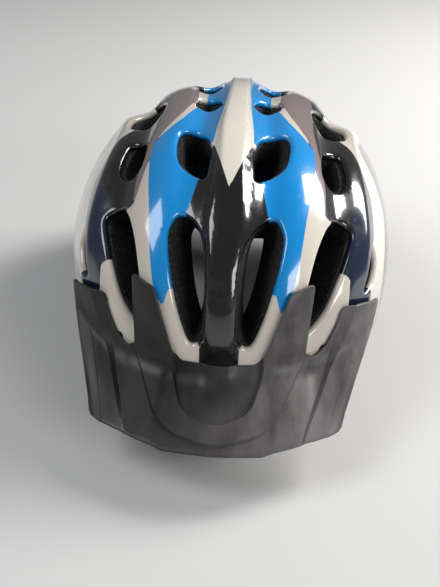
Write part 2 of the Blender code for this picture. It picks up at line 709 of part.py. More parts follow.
def dividers(shop, looks):
    centre = Vector(DIVIDER)
    half = Vector(DIVIDER_SIZE) / 2
    for name, sign in SIDES.items():
        middle = Vector((sign * centre.x, centre.y, centre.z))
        body = shop.add("strap_divider_" + name,
                        box_mesh("strap_divider_" + name, middle - half, middle + half),
                        looks["plastic"])
        bevel(body, 0.0010, 1)
        outer = sign * (centre.x + half.x)
        hinge = (outer + sign * 0.0016, centre.y, centre.z - half.z + 0.0018)
        x_low, x_high = sorted((outer + sign * GAP, outer + sign * 0.0026))
        lever = shop.add("divider_lever_" + name,
                         box_mesh("divider_lever_" + name,
                                  (x_low, centre.y - 0.009, centre.z - half.z + 0.0006),
                                  (x_high, centre.y + 0.009, centre.z + half.z - 0.002)),
                         looks["plastic"], hinge)
        bevel(lever, 0.0005, 1)


def buckle_frame_box(shop, name, along, across, height, material=None):
    """A box in the buckle's own axes: along its heading, across it, and upward."""
    size = Vector((along[1] - along[0], across[1] - across[0], height[1] - height[0]))
    bm = bmesh.new()
    bmesh.ops.create_cube(bm, size=1.0)
    bmesh.ops.scale(bm, vec=size, verts=bm.verts)
    bmesh.ops.translate(bm, vec=Vector((sum(along) / 2, sum(across) / 2, sum(height) / 2)),
                        verts=bm.verts)
    turn = Matrix.Rotation(math.atan2(BUCKLE_HEADING.y, BUCKLE_HEADING.x), 4, "Z")
    bmesh.ops.transform(bm, matrix=Matrix.Translation(BUCKLE_CENTRE) @ turn, verts=bm.verts)
    return shop.add(name, mesh_from(bm, name), material)


def buckle(shop, looks):
    """Female half at the back, male half in front of it, along the buckle's heading."""
    tall, deep = BUCKLE_HEIGHT / 2, BUCKLE_WALL / 2
    female = buckle_frame_box(shop, "buckle_female", (-FEMALE_LENGTH, 0.0), (-deep, deep),
                              (-tall, tall), looks["plastic"])
    bevel(female, 0.0012, 1)
    boolean(female, buckle_frame_box(shop, "buckle_throat", (-0.0165, 0.002),
                                     (-0.0026, 0.0026), (-tall + 0.0020, tall - 0.0020)))
    male = buckle_frame_box(shop, "buckle_male", (0.0006, MALE_GRIP), (-deep, deep),
                            (-tall, tall), looks["plastic"])
    bevel(male, 0.0010, 1)
    for side in (-1, 1):
        low, high = sorted((side * tall * 0.27, side * tall * 0.68))
        prong = buckle_frame_box(shop, "prong_" + ("lower" if side < 0 else "upper"),
                                 (-PRONG_LENGTH, 0.003), (-0.0012, 0.0012), (low, high))
        boolean(male, prong, "UNION")


def chin_straps(shop, looks):
    """The long strap runs from the left divider round the front to the male half."""
    dx, dy, dz = DIVIDER
    inner = dx - DIVIDER_SIZE[0] / 2 - 0.0012
    exit_point = BUCKLE_CENTRE + BUCKLE_HEADING * (MALE_GRIP + GAP)
    points = [exit_point, exit_point + BUCKLE_HEADING * 0.010, Vector((0.018, -0.076, WEB_Z)),
              Vector((-0.002, -0.082, WEB_Z)), Vector((-0.022, -0.073, WEB_Z)),
              Vector((-0.038, -0.051, WEB_Z)), Vector((-0.049, -0.026, WEB_Z)),
              Vector((-inner, dy - 0.002, WEB_Z))]
    path = spline(points, 4)
    shop.add("chin_strap_long", ribbon_mesh("chin_strap_long", path,
                                            [WEB_WIDTH] * len(path), WEB_WALL),
             looks["webbing"], (-inner, dy, WEB_Z))
    end = Vector((inner, dy + 0.006, WEB_Z))
    back = BUCKLE_CENTRE - BUCKLE_HEADING * (FEMALE_LENGTH + 2 * GAP)
    path = spline([back, back - BUCKLE_HEADING * 0.006, end - Vector((0.0004, 0.006, 0)),
                   end], 3)
    shop.add("chin_strap_short", ribbon_mesh("chin_strap_short", path,
                                             [WEB_WIDTH] * len(path), WEB_WALL),
             looks["webbing"])
    middle = (points[5] + points[6]) / 2 + Vector((-0.0012, 0.0006, 0))
    run = (points[6] - points[5]).normalized()
    turn = math.atan2(run.y, run.x) - math.pi / 2
    half, hole = Vector((0.0027, 0.0035, 0.0086)), Vector((0.0014, 0.0080, 0.0078))
    keeper = shop.add("strap_keeper", box_mesh("strap_keeper", middle - half, middle + half,
                                               turn), looks["rubber"])
    boolean(keeper, shop.add("keeper_slot", box_mesh("keeper_slot", middle - hole,
                                                     middle + hole, turn)))


# ---- pockets that the fittings sit in -----------------------------------------------
def pocket_cutters(shop):
    """Seats for the temple anchors, strap anchors, visor sockets and the dial unit."""
    bm = bmesh.new()

    def merge(mesh):
        bm.from_mesh(mesh)
        bpy.data.meshes.remove(mesh)

    for sign in (-1, 1):
        inner, outer = sorted((sign * 0.060, sign * 0.0821))
        merge(box_mesh("seat", (inner, PIVOT[1] - 0.0076, BAND_Z - 0.0106),
                       (outer, PIVOT[1] + 0.0076, BAND_Z + 0.0106)))
        for which, azimuth in STRAP_ANCHORS.items():
            place = anchor_place(which, sign)
            half = Vector(ANCHOR_SIZE) / 2 + Vector((0.0010, 0.0010, 0.0100))
            merge(box_mesh("seat", place - half, place + half,
                           sign * math.radians(azimuth - 90)))
    merge(box_mesh("seat", (-0.034, COVER_Y - 0.012, -0.02),
                   (0.034, KNOB_Y[1] + 0.014, HOUSING_HIGH_Z + 0.002)))
    foam_seats = mesh_from(bm, "foam_seats")

    bm = bmesh.new()
    for x, z in PEGS.values():
        front = peg_face(x, z)
        merge(rod_mesh("seat", (x, front - 0.004, z), (x, front + 0.018, z),
                       SOCKET_RADIUS + GAP, 16))
    peg_seats = mesh_from(bm, "peg_seats")
    return shop.add("foam_seats", foam_seats), shop.add("peg_seats", peg_seats)


def build():
    clear_scene()
    shop = Workshop()
    looks = {
        "shell": finish("shell_gloss", (0.010, 0.150, 0.520), 0.12),
        "foam": finish("foam_black", (0.020, 0.020, 0.022), 0.85),
        "visor": finish("visor_matte", (0.075, 0.072, 0.078), 0.62),
        "plastic": finish("black_plastic", (0.025, 0.025, 0.028), 0.45),
        "knob": finish("knob_grey", (0.110, 0.110, 0.120), 0.50),
        "steel": finish("steel_parts", (0.550, 0.550, 0.560), 0.30, 1.0),
        "pad": finish("pad_fabric", (0.030, 0.045, 0.110), 0.95),
        "hook": finish("hook_tape", (0.015, 0.015, 0.015), 0.95),
        "webbing": finish("webbing_black", (0.018, 0.018, 0.020), 0.90),
        "rubber": finish("rubber_ring", (0.012, 0.012, 0.012), 0.80),
    }
    vents = vent_cutters(shop)
    foam_seats, peg_seats = pocket_cutters(shop)
    outer_shell(shop, looks, vents, peg_seats)
    foam = foam_liner(shop, looks, vents, foam_seats)
    boolean(foam, peg_seats)
    visor(shop, looks)
    visor_pegs(shop, looks)
    pads(shop, looks)
    temple_anchors(shop, looks)
    bands(shop, looks)
    dial_unit(shop, looks)
    strap_anchors(shop, looks)
    upper_straps(shop, looks)
    dividers(shop, looks)
    buckle(shop, looks)
    chin_straps(shop, looks)


build()
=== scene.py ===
import json
import math

import bmesh
import bpy
import numpy as np
from mathutils import Matrix, Vector
from mathutils.geometry import delaunay_2d_cdt


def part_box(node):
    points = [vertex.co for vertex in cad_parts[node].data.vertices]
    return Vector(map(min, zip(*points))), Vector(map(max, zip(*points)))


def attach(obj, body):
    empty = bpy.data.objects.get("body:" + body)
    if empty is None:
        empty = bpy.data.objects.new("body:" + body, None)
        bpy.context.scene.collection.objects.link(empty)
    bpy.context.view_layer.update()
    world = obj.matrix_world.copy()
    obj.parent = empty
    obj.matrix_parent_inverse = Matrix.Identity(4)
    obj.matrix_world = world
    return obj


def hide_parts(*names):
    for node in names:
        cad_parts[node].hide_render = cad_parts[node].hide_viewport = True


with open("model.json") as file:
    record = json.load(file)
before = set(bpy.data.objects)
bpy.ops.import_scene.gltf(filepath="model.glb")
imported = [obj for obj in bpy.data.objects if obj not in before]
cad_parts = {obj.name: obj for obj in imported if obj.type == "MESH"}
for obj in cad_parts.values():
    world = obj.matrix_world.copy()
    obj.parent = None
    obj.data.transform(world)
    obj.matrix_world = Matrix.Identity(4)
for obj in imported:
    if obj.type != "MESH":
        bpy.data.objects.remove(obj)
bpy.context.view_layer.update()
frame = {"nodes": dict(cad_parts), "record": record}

# ---- driving dimensions, as in the CAD
CENTRE_Z = 0.058
CENTRE = np.array([0.0, 0.0, CENTRE_Z])

# half width, front, back, top, bottom, exponent
OUTER = (0.105, 0.138, 0.148, 0.0980, 0.100, 2.25)
CAVITY = (0.079, 0.108, 0.116, 0.070, 0.130, 2.2)
SHIFT = np.array([0.0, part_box("outer_shell")[1].y - OUTER[2], 0.0])

SHELL_WALL = 0.0011
FOAM_INSET, FOAM_DIP = 0.0018, 0.0046
VENT_LIP, RIM_LIP, LIP_WALL = 0.0024, 0.0018, 0.0014
SHELL_EDGE_LIFT = 0.0025
FOAM_VENT_EDGE = -0.0003                  # the foam stands this far into a vent's outline
DIP_EDGE, POCKET_EDGE = (0.0030, 0.0050), (0.0012, 0.0022)
SPHERE_LEVEL = 7                          # subdivisions of the sphere that shapes are cast on
SNAP_REACH = 0.42 * 0.0023                # how far a point is moved to meet an edge
LIP_REACH = 0.0008                        # points this near a hole belong to its lip
FIELD_REACH = 0.012                       # distances to outlines are not followed further

CREST_HEIGHT = 0.0032
CREST_SHOULDER = [(0, 3.2), (20, 3.2), (34, 4.6), (52, 3.6), (70, 4.4), (100, 3.6), (165, 2.6)]
VALLEY_DEPTH, VALLEY_WIDTH = 0.0042, 4.6
RECESS_DEPTH, RECESS_WIDTH = 0.0055, 6.0
RIB_HEIGHT, RIB_WIDTH, RIB_ANGLE = 0.0015, 4.0, 44.0
CHANNEL_DEPTH, CHANNEL_WIDTH = 0.0050, 4.2
VENT_TAPER, TAPER_REACH = 0.0048, 0.009

# centre line of each vent row: (angle over the head, angle to the side), degrees
INNER_ROW = [(0, 7.0), (12, 8.5), (30, 10.5), (60, 12.5), (95, 11), (125, 12), (170, 9)]
SIDE_ROW = [(0, 22), (10, 25), (26, 30), (37, 34), (60, 35), (120, 36), (150, 32), (170, 24)]

# vent outlines on one half, same two angles, joined by a smooth closed curve
VENTS = [
    [(35, 12.5), (31, 14.8), (26, 14.4), (17, 12.3), (8, 9.8), (2.2, 7.4), (3, 5.2), (8, 4.1),
     (15, 4.2), (24, 5.1), (31, 7.4)],
    [(71, 14.5), (69, 18.6), (61, 18.4), (52.5, 15.6), (46.6, 8.2), (52, 7.0), (59, 7.0),
     (67, 10)],
    [(91, 7), (90, 11), (93, 15.5), (101, 15.5), (103, 11), (98, 7)],
    [(115, 7.5), (113, 12), (117, 17), (130, 16), (137, 10.5), (128, 7.5)],
    [(148, 5.5), (145, 10), (151, 16), (163, 14), (169, 8), (160, 5)],
    [(37, 34), (34, 38), (26, 35.4), (16.5, 31), (8.5, 27), (3.5, 22.3), (6.5, 20),
     (14.4, 21), (26, 24.4), (34, 29)],
    [(54, 30), (50, 35), (54, 38.6), (64, 39.6), (73, 38.4), (68, 32.4)],
    [(92, 30), (88, 36), (93, 42), (108, 41.5), (116, 34), (105, 28.5)],
    [(134, 26), (130, 34), (136, 41), (149, 38), (158, 29), (148, 23)],
    [(30, 46.6), (23, 49.4), (15, 46.5), (12.5, 41.5), (19, 43.2), (25, 45)],
    [(119, 51), (117, 56), (127, 61), (139, 56), (142, 50), (131, 48)],
]

# lower edge of the foam seen from the side: (y, z)
RIM = [(-0.165, 0.030), (-0.138, 0.024), (-0.112, 0.012), (-0.089, 0.000), (-0.075, 0.000),
       (-0.042, 0.010), (0.000, 0.023), (0.042, 0.014), (0.076, 0.000), (0.090, 0.000),
       (0.110, 0.014), (0.128, 0.036), (0.165, 0.046)]

PEGS = [(0.060, 0.054), (0.0, 0.040)]      # x, z of the visor's pegs
PEG_HOLE, PEG_LIP, PEG_POCKET = 0.0030, 0.0006, 0.0030

# ---- paint, in (over, side) degrees on one half; later fields cover earlier ones
OUTER_EDGE = [(-14, 43), (14, 45), (30, 46.5), (34, 48), (53, 50), (67, 47.5), (81, 43.5),
              (98, 35.5), (112, 33), (124, 35)]
OUTER_SIDE = [(140, 44), (128, 50), (98, 48.5), (81, 55.5), (67, 59.5), (53, 62), (34, 60),
              (14, 58), (-14, 56)]
MAUVE_INNER = [(38.5, 26.9), (45, 26.8), (56, 26.5), (65, 27), (80, 21.5), (100, 16),
               (124, 15), (146, 19)]
MAUVE_OUTER = [(150, 22), (128, 25), (100, 28.5), (80, 28.5), (65, 29.3), (55, 29.5),
               (47, 29.4), (39, 27.8)]
AZURE_EDGE = [(10.8, 14.2), (12.8, 15.2), (17, 17.1), (25, 18.9), (35, 21), (47, 24.3),
              (57, 26.6), (65, 27), (80, 19), (100, 12.5), (122, 12), (142, 15), (158, 10),
              (164, 0)]
RIDGE_EDGE = [(-14, 4.4), (3, 4.8), (8, 6), (20, 6.5), (31, 8.6), (35, 11.0), (47, 9.2),
              (61, 6.6), (62, 0)]
KITE_EDGE = [(42.5, 0), (62, 6.6), (70, 6.4), (100, 4.2), (140, 1.8), (156, 0)]
PAINT = [
    ("outer_band", "white", OUTER_EDGE + OUTER_SIDE),
    ("navy_rib", "navy", [(56, 46), (42, 39), (34, 38.5), (26, 36), (18, 33.5), (9, 31),
                          (0, 36), (8, 44), (14, 45), (22, 43), (30, 46), (40, 48)]),
    ("mauve_band", "mauve", MAUVE_INNER + MAUVE_OUTER),
    ("rib_band", "white", [(-14, -4), (60, -4), (58, 25.7), (53, 26.6), (40, 27),
                           (37.8, 27.4), (36.5, 30), (34, 29), (26, 24), (14.4, 20.5),
                           (6, 20), (-14, 18)]),
    ("side_vent_rim", "white", [(21.6, 31.5), (18.5, 35.2), (10, 34.5), (-14, 37), (-14, 16),
                                (6, 18.5), (12, 19)]),
    ("stripe", "white", [(65, 27.2), (80, 18), (100, 11), (124, 11), (140, 14), (124, 15.2),
                         (100, 15.8), (85, 20)]),
    ("azure_field", "azure", AZURE_EDGE + [(16.7, 0), (16.7, 12.7)]),
    ("ridge_field", "black", RIDGE_EDGE),
    ("kite_field", "bright", KITE_EDGE),
]

# ---- visor
VISOR_WALL, VISOR_CLEARANCE = 0.0022, 0.0019
# (x on the brow, brow height) and (x on the brow, brim x, y, z)
BROW = [(0.0, 0.049), (0.026, 0.049), (0.030, 0.050), (0.048, 0.050), (0.054, 0.049),
        (0.060, 0.050), (0.066, 0.052), (0.071, 0.055), (0.078, 0.059), (0.084, 0.062),
        (0.0885, 0.065)]
BRIM = [(0.0, 0.0, -0.1900, 0.0320), (0.009, 0.0100, -0.1894, 0.0320),
        (0.016, 0.0195, -0.1880, 0.0315), (0.022, 0.0260, -0.1868, 0.0310),
        (0.026, 0.0300, -0.1858, 0.0310), (0.030, 0.0350, -0.1838, 0.0312),
        (0.037, 0.0410, -0.1812, 0.0315), (0.044, 0.0470, -0.1785, 0.0320),
        (0.054, 0.0565, -0.1735, 0.0325), (0.060, 0.0620, -0.1705, 0.0328),
        (0.066, 0.0665, -0.1675, 0.0328), (0.071, 0.0700, -0.1645, 0.0325),
        (0.078, 0.0722, -0.1615, 0.0322), (0.084, 0.0736, -0.1585, 0.0322),
        (0.0885, 0.0744, -0.1550, 0.0325)]
# top edge of one half: x and height
VISOR_TOP = [(0.0, 0.0530), (0.0215, 0.0530), (0.0262, 0.0590), (0.0375, 0.0940),
             (0.0500, 0.0958), (0.0475, 0.0560), (0.0540, 0.0525), (0.0610, 0.0580),
             (0.0660, 0.0680), (0.0690, 0.0778), (0.0770, 0.0768), (0.0885, 0.0720)]
# features, in x on the brow and distance v from the brow (up the shell is positive)
PLATE = [(0.0240, 0.030), (0.0236, 0.0), (0.0205, -0.012), (0.0175, -0.021),
         (0.0125, -0.0275), (0.0065, -0.0305), (0.0, -0.0310)]
BAND = [(0.0545, 0.060), (0.0490, 0.010), (0.0425, -0.006), (0.0365, -0.018), (0.0305, -0.029),
        (0.0215, -0.0390), (0.0105, -0.0435), (0.0, -0.0445)]
STEP_A = ((0.0688, 0.0240), (0.0425, -0.060))
STEP_B = ((0.0800, 0.0080), (0.0570, -0.060))
PLATE_DROP, BAND_DROP, STEP_A_RISE, STEP_B_DROP = 0.0036, 0.0017, 0.0042, 0.0010
BEND = 0.0120                             # how far the bend at the brow reaches each way
RAMP = 0.0013
STEP_A_WIDTH = (0.0055, 0.0008)           # the step's slope, at its top and at the brim
STEP_B_WIDTH = (0.6 * RAMP, 0.6 * RAMP)
VISOR_CELL, VISOR_EDGE, VISOR_CORNER = 0.0016, 0.0007, 0.0022
PLAN_U, PLAN_V = (-0.0900, 0.0901), (-0.060, 0.050)   # the flat area that the visor lies in
OUTLINE_STEP = 1.5                        # degrees between the points of an outline

# ---- soft pads on the cavity wall: over and sideways ranges, degrees
PADS = {
    "brow_pad": (-17, -6, -42, 42),
    "crown_pad": (62, 126, -6, 6),
    "upper_pad_left": (52, 120, -27.5, -20.5),
    "upper_pad_right": (52, 120, 20.5, 27.5),
    "side_pad_left": (52, 108, -64, -48),
    "side_pad_right": (52, 108, 48, 64),
    "rear_pad": (172, 186, -24, 24),
}
PAD_INSET, PAD_WALL, PAD_PUFF = 0.0027, 0.0058, 0.0009
PAD_HEM, PAD_SEAM, PAD_SWELL, PAD_CHANNEL = 0.0012, 0.0018, 0.0060, 0.022
STITCH_DEPTH, STITCH_HELD = 0.28, 0.75    # share of the crown; share that the cloth keeps
PAD_RADIUS = 0.085                        # of the cavity, for a pad's size in metres
PAD_TAPER, NAPE_TAPER = 0.14, 0.10        # how far the sides draw in at the corners

CLOTH_FRAMES = 20
CLOTH = {"quality": 4, "mass": 0.0004, "tension_stiffness": 0.08, "compression_stiffness": 0.08,
         "bending_stiffness": 0.001, "use_pressure": True, "uniform_pressure_force": 4.0,
         "vertex_group_mass": "seams"}

# ---- straps
WEB_WIDTH, WEB_WALL, WEB_Z, WEB_SELVAGE = 0.015, 0.0012, 0.0090, 0.0002
DIVIDER = (0.0660, 0.002, WEB_Z)
DIVIDER_SIZE = (0.006, 0.022, 0.0160)
BUCKLE_CENTRE = Vector((0.0445, -0.0360, WEB_Z))
BUCKLE_HEADING = Vector((-0.37, -0.93, 0.0)).normalized()
FEMALE_LENGTH, MALE_GRIP = 0.024, 0.010
STRAP_ANCHORS = {"front": 28.0, "rear": 148.0}
ANCHOR_LENGTH, ANCHOR_INSET = 0.0060, 0.0048
CHIN_ROUTE = [(0.018, -0.076), (-0.002, -0.082), (-0.022, -0.073), (-0.038, -0.051),
              (-0.049, -0.026)]           # x, y between the buckle and the left divider
GAP = 0.0003

# ---- dial
RACK_Y, DIAL_Z = 0.0950, 0.0275
KNOB_BACK = RACK_Y + 0.0063
KNOB_GRIPS, GRIP_DEPTH = 24, 0.0010
# radius, distance from the knob's back, share of the finger grips
KNOB_PROFILE = [(0.0094, 0.0014, 0), (0.0096, 0, 0), (0.0112, 0, 0.3), (0.0122, 0.0006, 0.9),
                (0.0124, 0.0016, 1), (0.0124, 0.006525, 1), (0.0121, 0.0079, 0.9),
                (0.0113, 0.0086, 0.3), (0.0105, 0.0087, 0), (0.0092, 0.0084, 0),
                (0.0082, 0.0075, 0), (0.0056, 0.0073, 0), (0.0050, 0.0082, 0),
                (0.0044, 0.0085, 0), (0.0037, 0.0083, 0), (0.0036, 0.0051, 0),
                (0.0026, 0.0050, 0), (0.0026, 0.0014, 0)]

# ---- camera, light
CAMERA_AZIMUTH, CAMERA_ELEVATION, CAMERA_ROLL = 1.88, 27.1, 2.26
CAMERA_DISTANCE, CAMERA_PIVOT = 0.634, (0.0, 0.0, 0.075)
CAMERA_AIM = (-0.0068, 0.0, 0.0148)
CAMERA_LENS = 57.0
LIGHT_TARGET = (0.0, 0.0, 0.06)
LIGHTS = [                                # name, place, size, watts, colour
    ("window_right", (0.95, 0.55, 0.80), (0.45, 0.9), 24.0, (1.0, 0.98, 0.96)),
    ("window_left", (-0.95, -0.35, 1.25), (0.7, 0.9), 10.0, (0.97, 0.98, 1.0)),
    ("front_fill", (1.25, -1.30, 0.78), (1.0, 0.7), 14.5, (1.0, 1.0, 1.0)),
]
SKY_COLOUR, SKY_STRENGTH = (0.92, 0.94, 0.97, 1.0), 0.16
FLOOR_SIZE = 8.0


# ---- shape helpers
def interpolate(table, value):
    return np.interp(value, *np.array(table, float).T)


def smooth(value, low, high):
    t = np.clip((value - low) / (high - low), 0.0, 1.0)
    return t * t * (3 - 2 * t)


def slope(value, width):
    """A straight ramp, from 0 at nothing to 1 at the width."""
    return np.clip(value / width, 0, 1)


def bell(value, width):
    return np.exp(-(value / width) ** 2)


def sizes(vectors):
    return np.linalg.norm(vectors, axis=-1)


def unit(vectors):
    return vectors / np.maximum(sizes(vectors), 1e-12)[..., None]


def spline(points, steps, closed=False):
    """Catmull-Rom curve through the points."""
    p = np.array(points, float)
    count = len(p)
    spans = np.arange(count if closed else count - 1)
    picks = ((spans + k) % count if closed else np.clip(spans + k, 0, count - 1)
             for k in (-1, 0, 1, 2))
    p0, p1, p2, p3 = (p[pick][:, None, :] for pick in picks)
    t = (np.arange(steps) / steps)[None, :, None]
    curve = 0.5 * (2 * p1 + (p2 - p0) * t + (2 * p0 - 5 * p1 + 4 * p2 - p3) * t ** 2
                   + (3 * p1 - p0 - 3 * p2 + p3) * t ** 3)
    curve = curve.reshape(-1, p.shape[1])
    return curve if closed else np.vstack([curve, p[-1]])


def heading(over, side):
    over, side = np.radians(over), np.radians(side)
    return np.stack([np.sin(side), -np.cos(side) * np.cos(over),
                     np.cos(side) * np.sin(over)], -1)


def chart(ways):
    """Angle over the head and angle to the side, degrees, of unit directions."""
    over = np.degrees(np.arctan2(ways[:, 2], -ways[:, 1]))
    over = np.where(over < -90, over + 360, over)
    return over, np.degrees(np.arcsin(np.clip(ways[:, 0], -1, 1)))


def reach(ways, size):
    half, front, back, top, bottom, power = size
    x = np.abs(ways[:, 0]) / half
    y = np.abs(ways[:, 1]) / np.where(ways[:, 1] < 0, front, back)
    z = np.abs(ways[:, 2]) / np.where(ways[:, 2] > 0, top, bottom)
    return (x ** power + y ** power + z ** power) ** (-1 / power)


def relief(ways):
    """Height of the crest, ribs and vent valleys over the plain dome."""
    over, side = chart(ways)
    side = np.abs(side)
    shoulder = interpolate(CREST_SHOULDER, over)
    lift = CREST_HEIGHT * (1 - smooth(side, shoulder - 0.3, shoulder + 1.3))
    lift -= VALLEY_DEPTH * bell(side - interpolate(INNER_ROW, over), VALLEY_WIDTH)
    lift -= RECESS_DEPTH * bell(side - interpolate(SIDE_ROW, over), RECESS_WIDTH)
    lift += RIB_HEIGHT * bell(side - RIB_ANGLE, RIB_WIDTH)
    return lift * smooth(over, -10, 8) * (1 - smooth(over, 162, 178))


def plain_point(ways):
    return CENTRE + ways * reach(ways, OUTER)[:, None]


def dome_point(ways, inset=0.0):
    return CENTRE + ways * (reach(ways, OUTER) + relief(ways) - inset)[:, None]


def dome_normals(ways, spread=0.008):
    """Outward normals of the shell, averaged over a small patch of it."""
    pole = np.array([0.0, 0.0, 1.0])
    across = unit(np.cross(ways, pole) + np.array([1e-9, 0, 0]))
    along = np.cross(across, ways)
    step = [dome_point(unit(ways + sign * spread * way))
            for way in (across, along) for sign in (1, -1)]
    normals = unit(np.cross(step[0] - step[1], step[2] - step[3]))
    facing = (normals * ways).sum(1, keepdims=True)
    return normals * np.sign(facing)


def cavity_point(ways, inset=0.0):
    return CENTRE + ways * (reach(ways, CAVITY) - inset)[:, None]


def ring_point(dx, dy, z, inset=0.0):
    """Points on the cavity wall at height z, in the horizontal directions (dx, dy)."""
    half, front, back, top, bottom, power = CAVITY
    span = np.where(z > CENTRE_Z, top, bottom)
    shrink = (1 - (np.abs(z - CENTRE_Z) / span) ** power) ** (1 / power)
    depth = np.where(dy < 0, front, back)
    radius = ((np.abs(dx) / (half * shrink)) ** power
              + (np.abs(dy) / (depth * shrink)) ** power) ** (-1 / power)
    return np.stack([dx * (radius - inset), dy * (radius - inset), z + 0 * radius], -1)


def rim_height(y):
    return np.maximum(interpolate(spline(RIM, 6), y), 0.0)


def shell_at(x, z, clearance):
    """Points in front of the shell at width x and height z."""
    low, high = np.full(len(x), 0.02), np.full(len(x), 0.16)
    for _ in range(26):
        y = (low + high) / 2
        ray = np.stack([x, -y, z - CENTRE_Z], -1)
        way = unit(ray)
        inside = sizes(ray) < reach(way, OUTER) + relief(way)
        low, high = np.where(inside, y, low), np.where(inside, high, y)
    return dome_point(unit(np.stack([x, -low, z - CENTRE_Z], -1)), -clearance)


# ---- signed distances
def inside_outline(a, b, outline):
    """Even-odd test of the points (a, b) in a closed outline."""
    inside = np.zeros(len(a), bool)
    for (a0, b0), (a1, b1) in zip(outline, np.roll(outline, -1, 0)):
        crosses = (b0 > b) != (b1 > b)
        with np.errstate(divide="ignore", invalid="ignore"):
            at = a0 + (a1 - a0) * (b - b0) / (b1 - b0)
        inside ^= crosses & (a < at)
    return inside


def to_segments(points, starts, ends):
    """Distance from each point to the nearest segment, and the nearest place on it."""
    best = np.full(len(points), 1e9)
    nearest = np.zeros_like(points)
    for start, end in zip(starts, ends):
        run = end - start
        t = np.clip(((points - start) @ run) / max(run @ run, 1e-18), 0, 1)
        place = start + t[:, None] * run
        gap = sizes(points - place)
        closer = gap < best
        best[closer] = gap[closer]
        nearest[closer] = place[closer]
    return best, nearest


def outline_distance(ways, outline, margin):
    """Metres from an outline given in (over, side), negative inside; mirrored in x.
    Points further than the margin all say the margin."""
    outline = evenly(outline, OUTLINE_STEP, True)
    folded = ways.copy()
    folded[:, 0] = np.abs(folded[:, 0])
    over, side = chart(folded)
    curve = plain_point(heading(outline[:, 0], outline[:, 1]))
    points = plain_point(folded)
    middle = curve.mean(0)
    size = sizes(curve - middle).max()
    near = sizes(points - middle) < size + margin
    distance = np.full(len(points), margin)
    nearest = points.copy()
    gap, place = to_segments(points[near], curve, np.roll(curve, -1, 0))
    inside = inside_outline(over[near], side[near], outline)
    distance[near] = np.where(inside, -gap, np.minimum(gap, margin))
    nearest[near] = place
    nearest[:, 0] *= np.where(ways[:, 0] < 0, -1, 1)
    return distance, nearest


def mirrored(edge):
    """A field that crosses the middle: one half's edge and its mirror image."""
    return list(edge) + [(over, -side) for over, side in reversed(edge)]


def peg_outlines():
    outlines = []
    for x, z in PEGS:
        centre = shell_at(np.array([x]), np.array([z]), 0.0)[0] - CENTRE
        distance = np.linalg.norm(centre)
        over, side = (value[0] for value in chart(unit(centre[None])))
        turn = np.radians(np.arange(0, 360, 30))
        size = math.degrees(PEG_HOLE / distance)
        outlines.append([(over + size * math.cos(t) / math.cos(math.radians(side)),
                          side + size * math.sin(t)) for t in turn])
    return outlines


# ---- mesh building
def direction_mesh(subdivisions):
    bm = bmesh.new()
    bmesh.ops.create_icosphere(bm, subdivisions=subdivisions, radius=1.0)
    points = np.array([v.co[:] for v in bm.verts])
    faces = np.array([[v.index for v in f.verts] for f in bm.faces])
    bm.free()
    return unit(points), faces


def compact(points, faces):
    """The triangles, with only the points that they use."""
    used, inverse = np.unique(faces, return_inverse=True)
    return points[used], inverse.reshape(-1, 3)


def clip(points, faces, field):
    """Keeps the part of a triangle mesh where the field is positive or zero."""
    points, cuts = list(points), {}
    signs = field >= 0
    count = signs[faces].sum(1)
    kept = faces[count == 3].tolist()

    def cut(a, b):
        """The point between a, which is kept, and b, which isn't."""
        if field[a] == 0:
            return a
        key = (a, b)
        if key not in cuts:
            t = field[a] / (field[a] - field[b])
            cuts[key] = len(points)
            points.append(points[a] + (points[b] - points[a]) * t)
        return cuts[key]

    for face in faces[(count == 1) | (count == 2)].tolist():
        ring = []
        for a, b in zip(face, face[1:] + face[:1]):
            if signs[a]:
                ring.append(a)
            if signs[a] and not signs[b]:
                ring.append(cut(a, b))
            elif signs[b] and not signs[a]:
                ring.append(cut(b, a))
        ring = [p for k, p in enumerate(ring) if p != ring[k - 1]]
        for k in range(1, len(ring) - 1):
            kept.append([ring[0], ring[k], ring[k + 1]])
    return compact(np.array(points), np.array(kept))


def biggest_part(points, faces):
    """Drops the loose scraps of a mesh."""
    label = np.arange(len(points))
    while True:
        lowest = label[faces].min(1)
        changed = label.copy()
        for k in range(3):
            np.minimum.at(changed, faces[:, k], lowest)
        changed = changed[changed]
        if (changed == label).all():
            break
        label = changed
    names, sizes = np.unique(label[faces[:, 0]], return_counts=True)
    return compact(points, faces[label[faces[:, 0]] == names[sizes.argmax()]])


def vertex_normals(points, faces):
    a, b, c = (points[faces[:, k]] for k in range(3))
    across = np.cross(b - a, c - a)
    normals = np.zeros_like(points)
    for k in range(3):
        np.add.at(normals, faces[:, k], across)
    return unit(normals)


def open_edges(faces):
    """Directed edges that only one triangle has, as an array of (start, end)."""
    edges = np.vstack([faces[:, [0, 1]], faces[:, [1, 2]], faces[:, [2, 0]]])
    keys = edges[:, 0].astype(np.int64) * (faces.max() + 1) + edges[:, 1]
    back = edges[:, 1].astype(np.int64) * (faces.max() + 1) + edges[:, 0]
    return edges[~np.isin(keys, back)]


def outward(points, normals, edges):
    """Direction in the surface away from it, at each vertex of its open edges."""
    total = np.zeros_like(points)
    across = unit(np.cross(points[edges[:, 1]] - points[edges[:, 0]], normals[edges[:, 0]]))
    np.add.at(total, edges[:, 0], across)
    np.add.at(total, edges[:, 1], across)
    length = np.linalg.norm(total, axis=1, keepdims=True)
    return np.divide(total, length, out=np.zeros_like(total), where=length > 0)


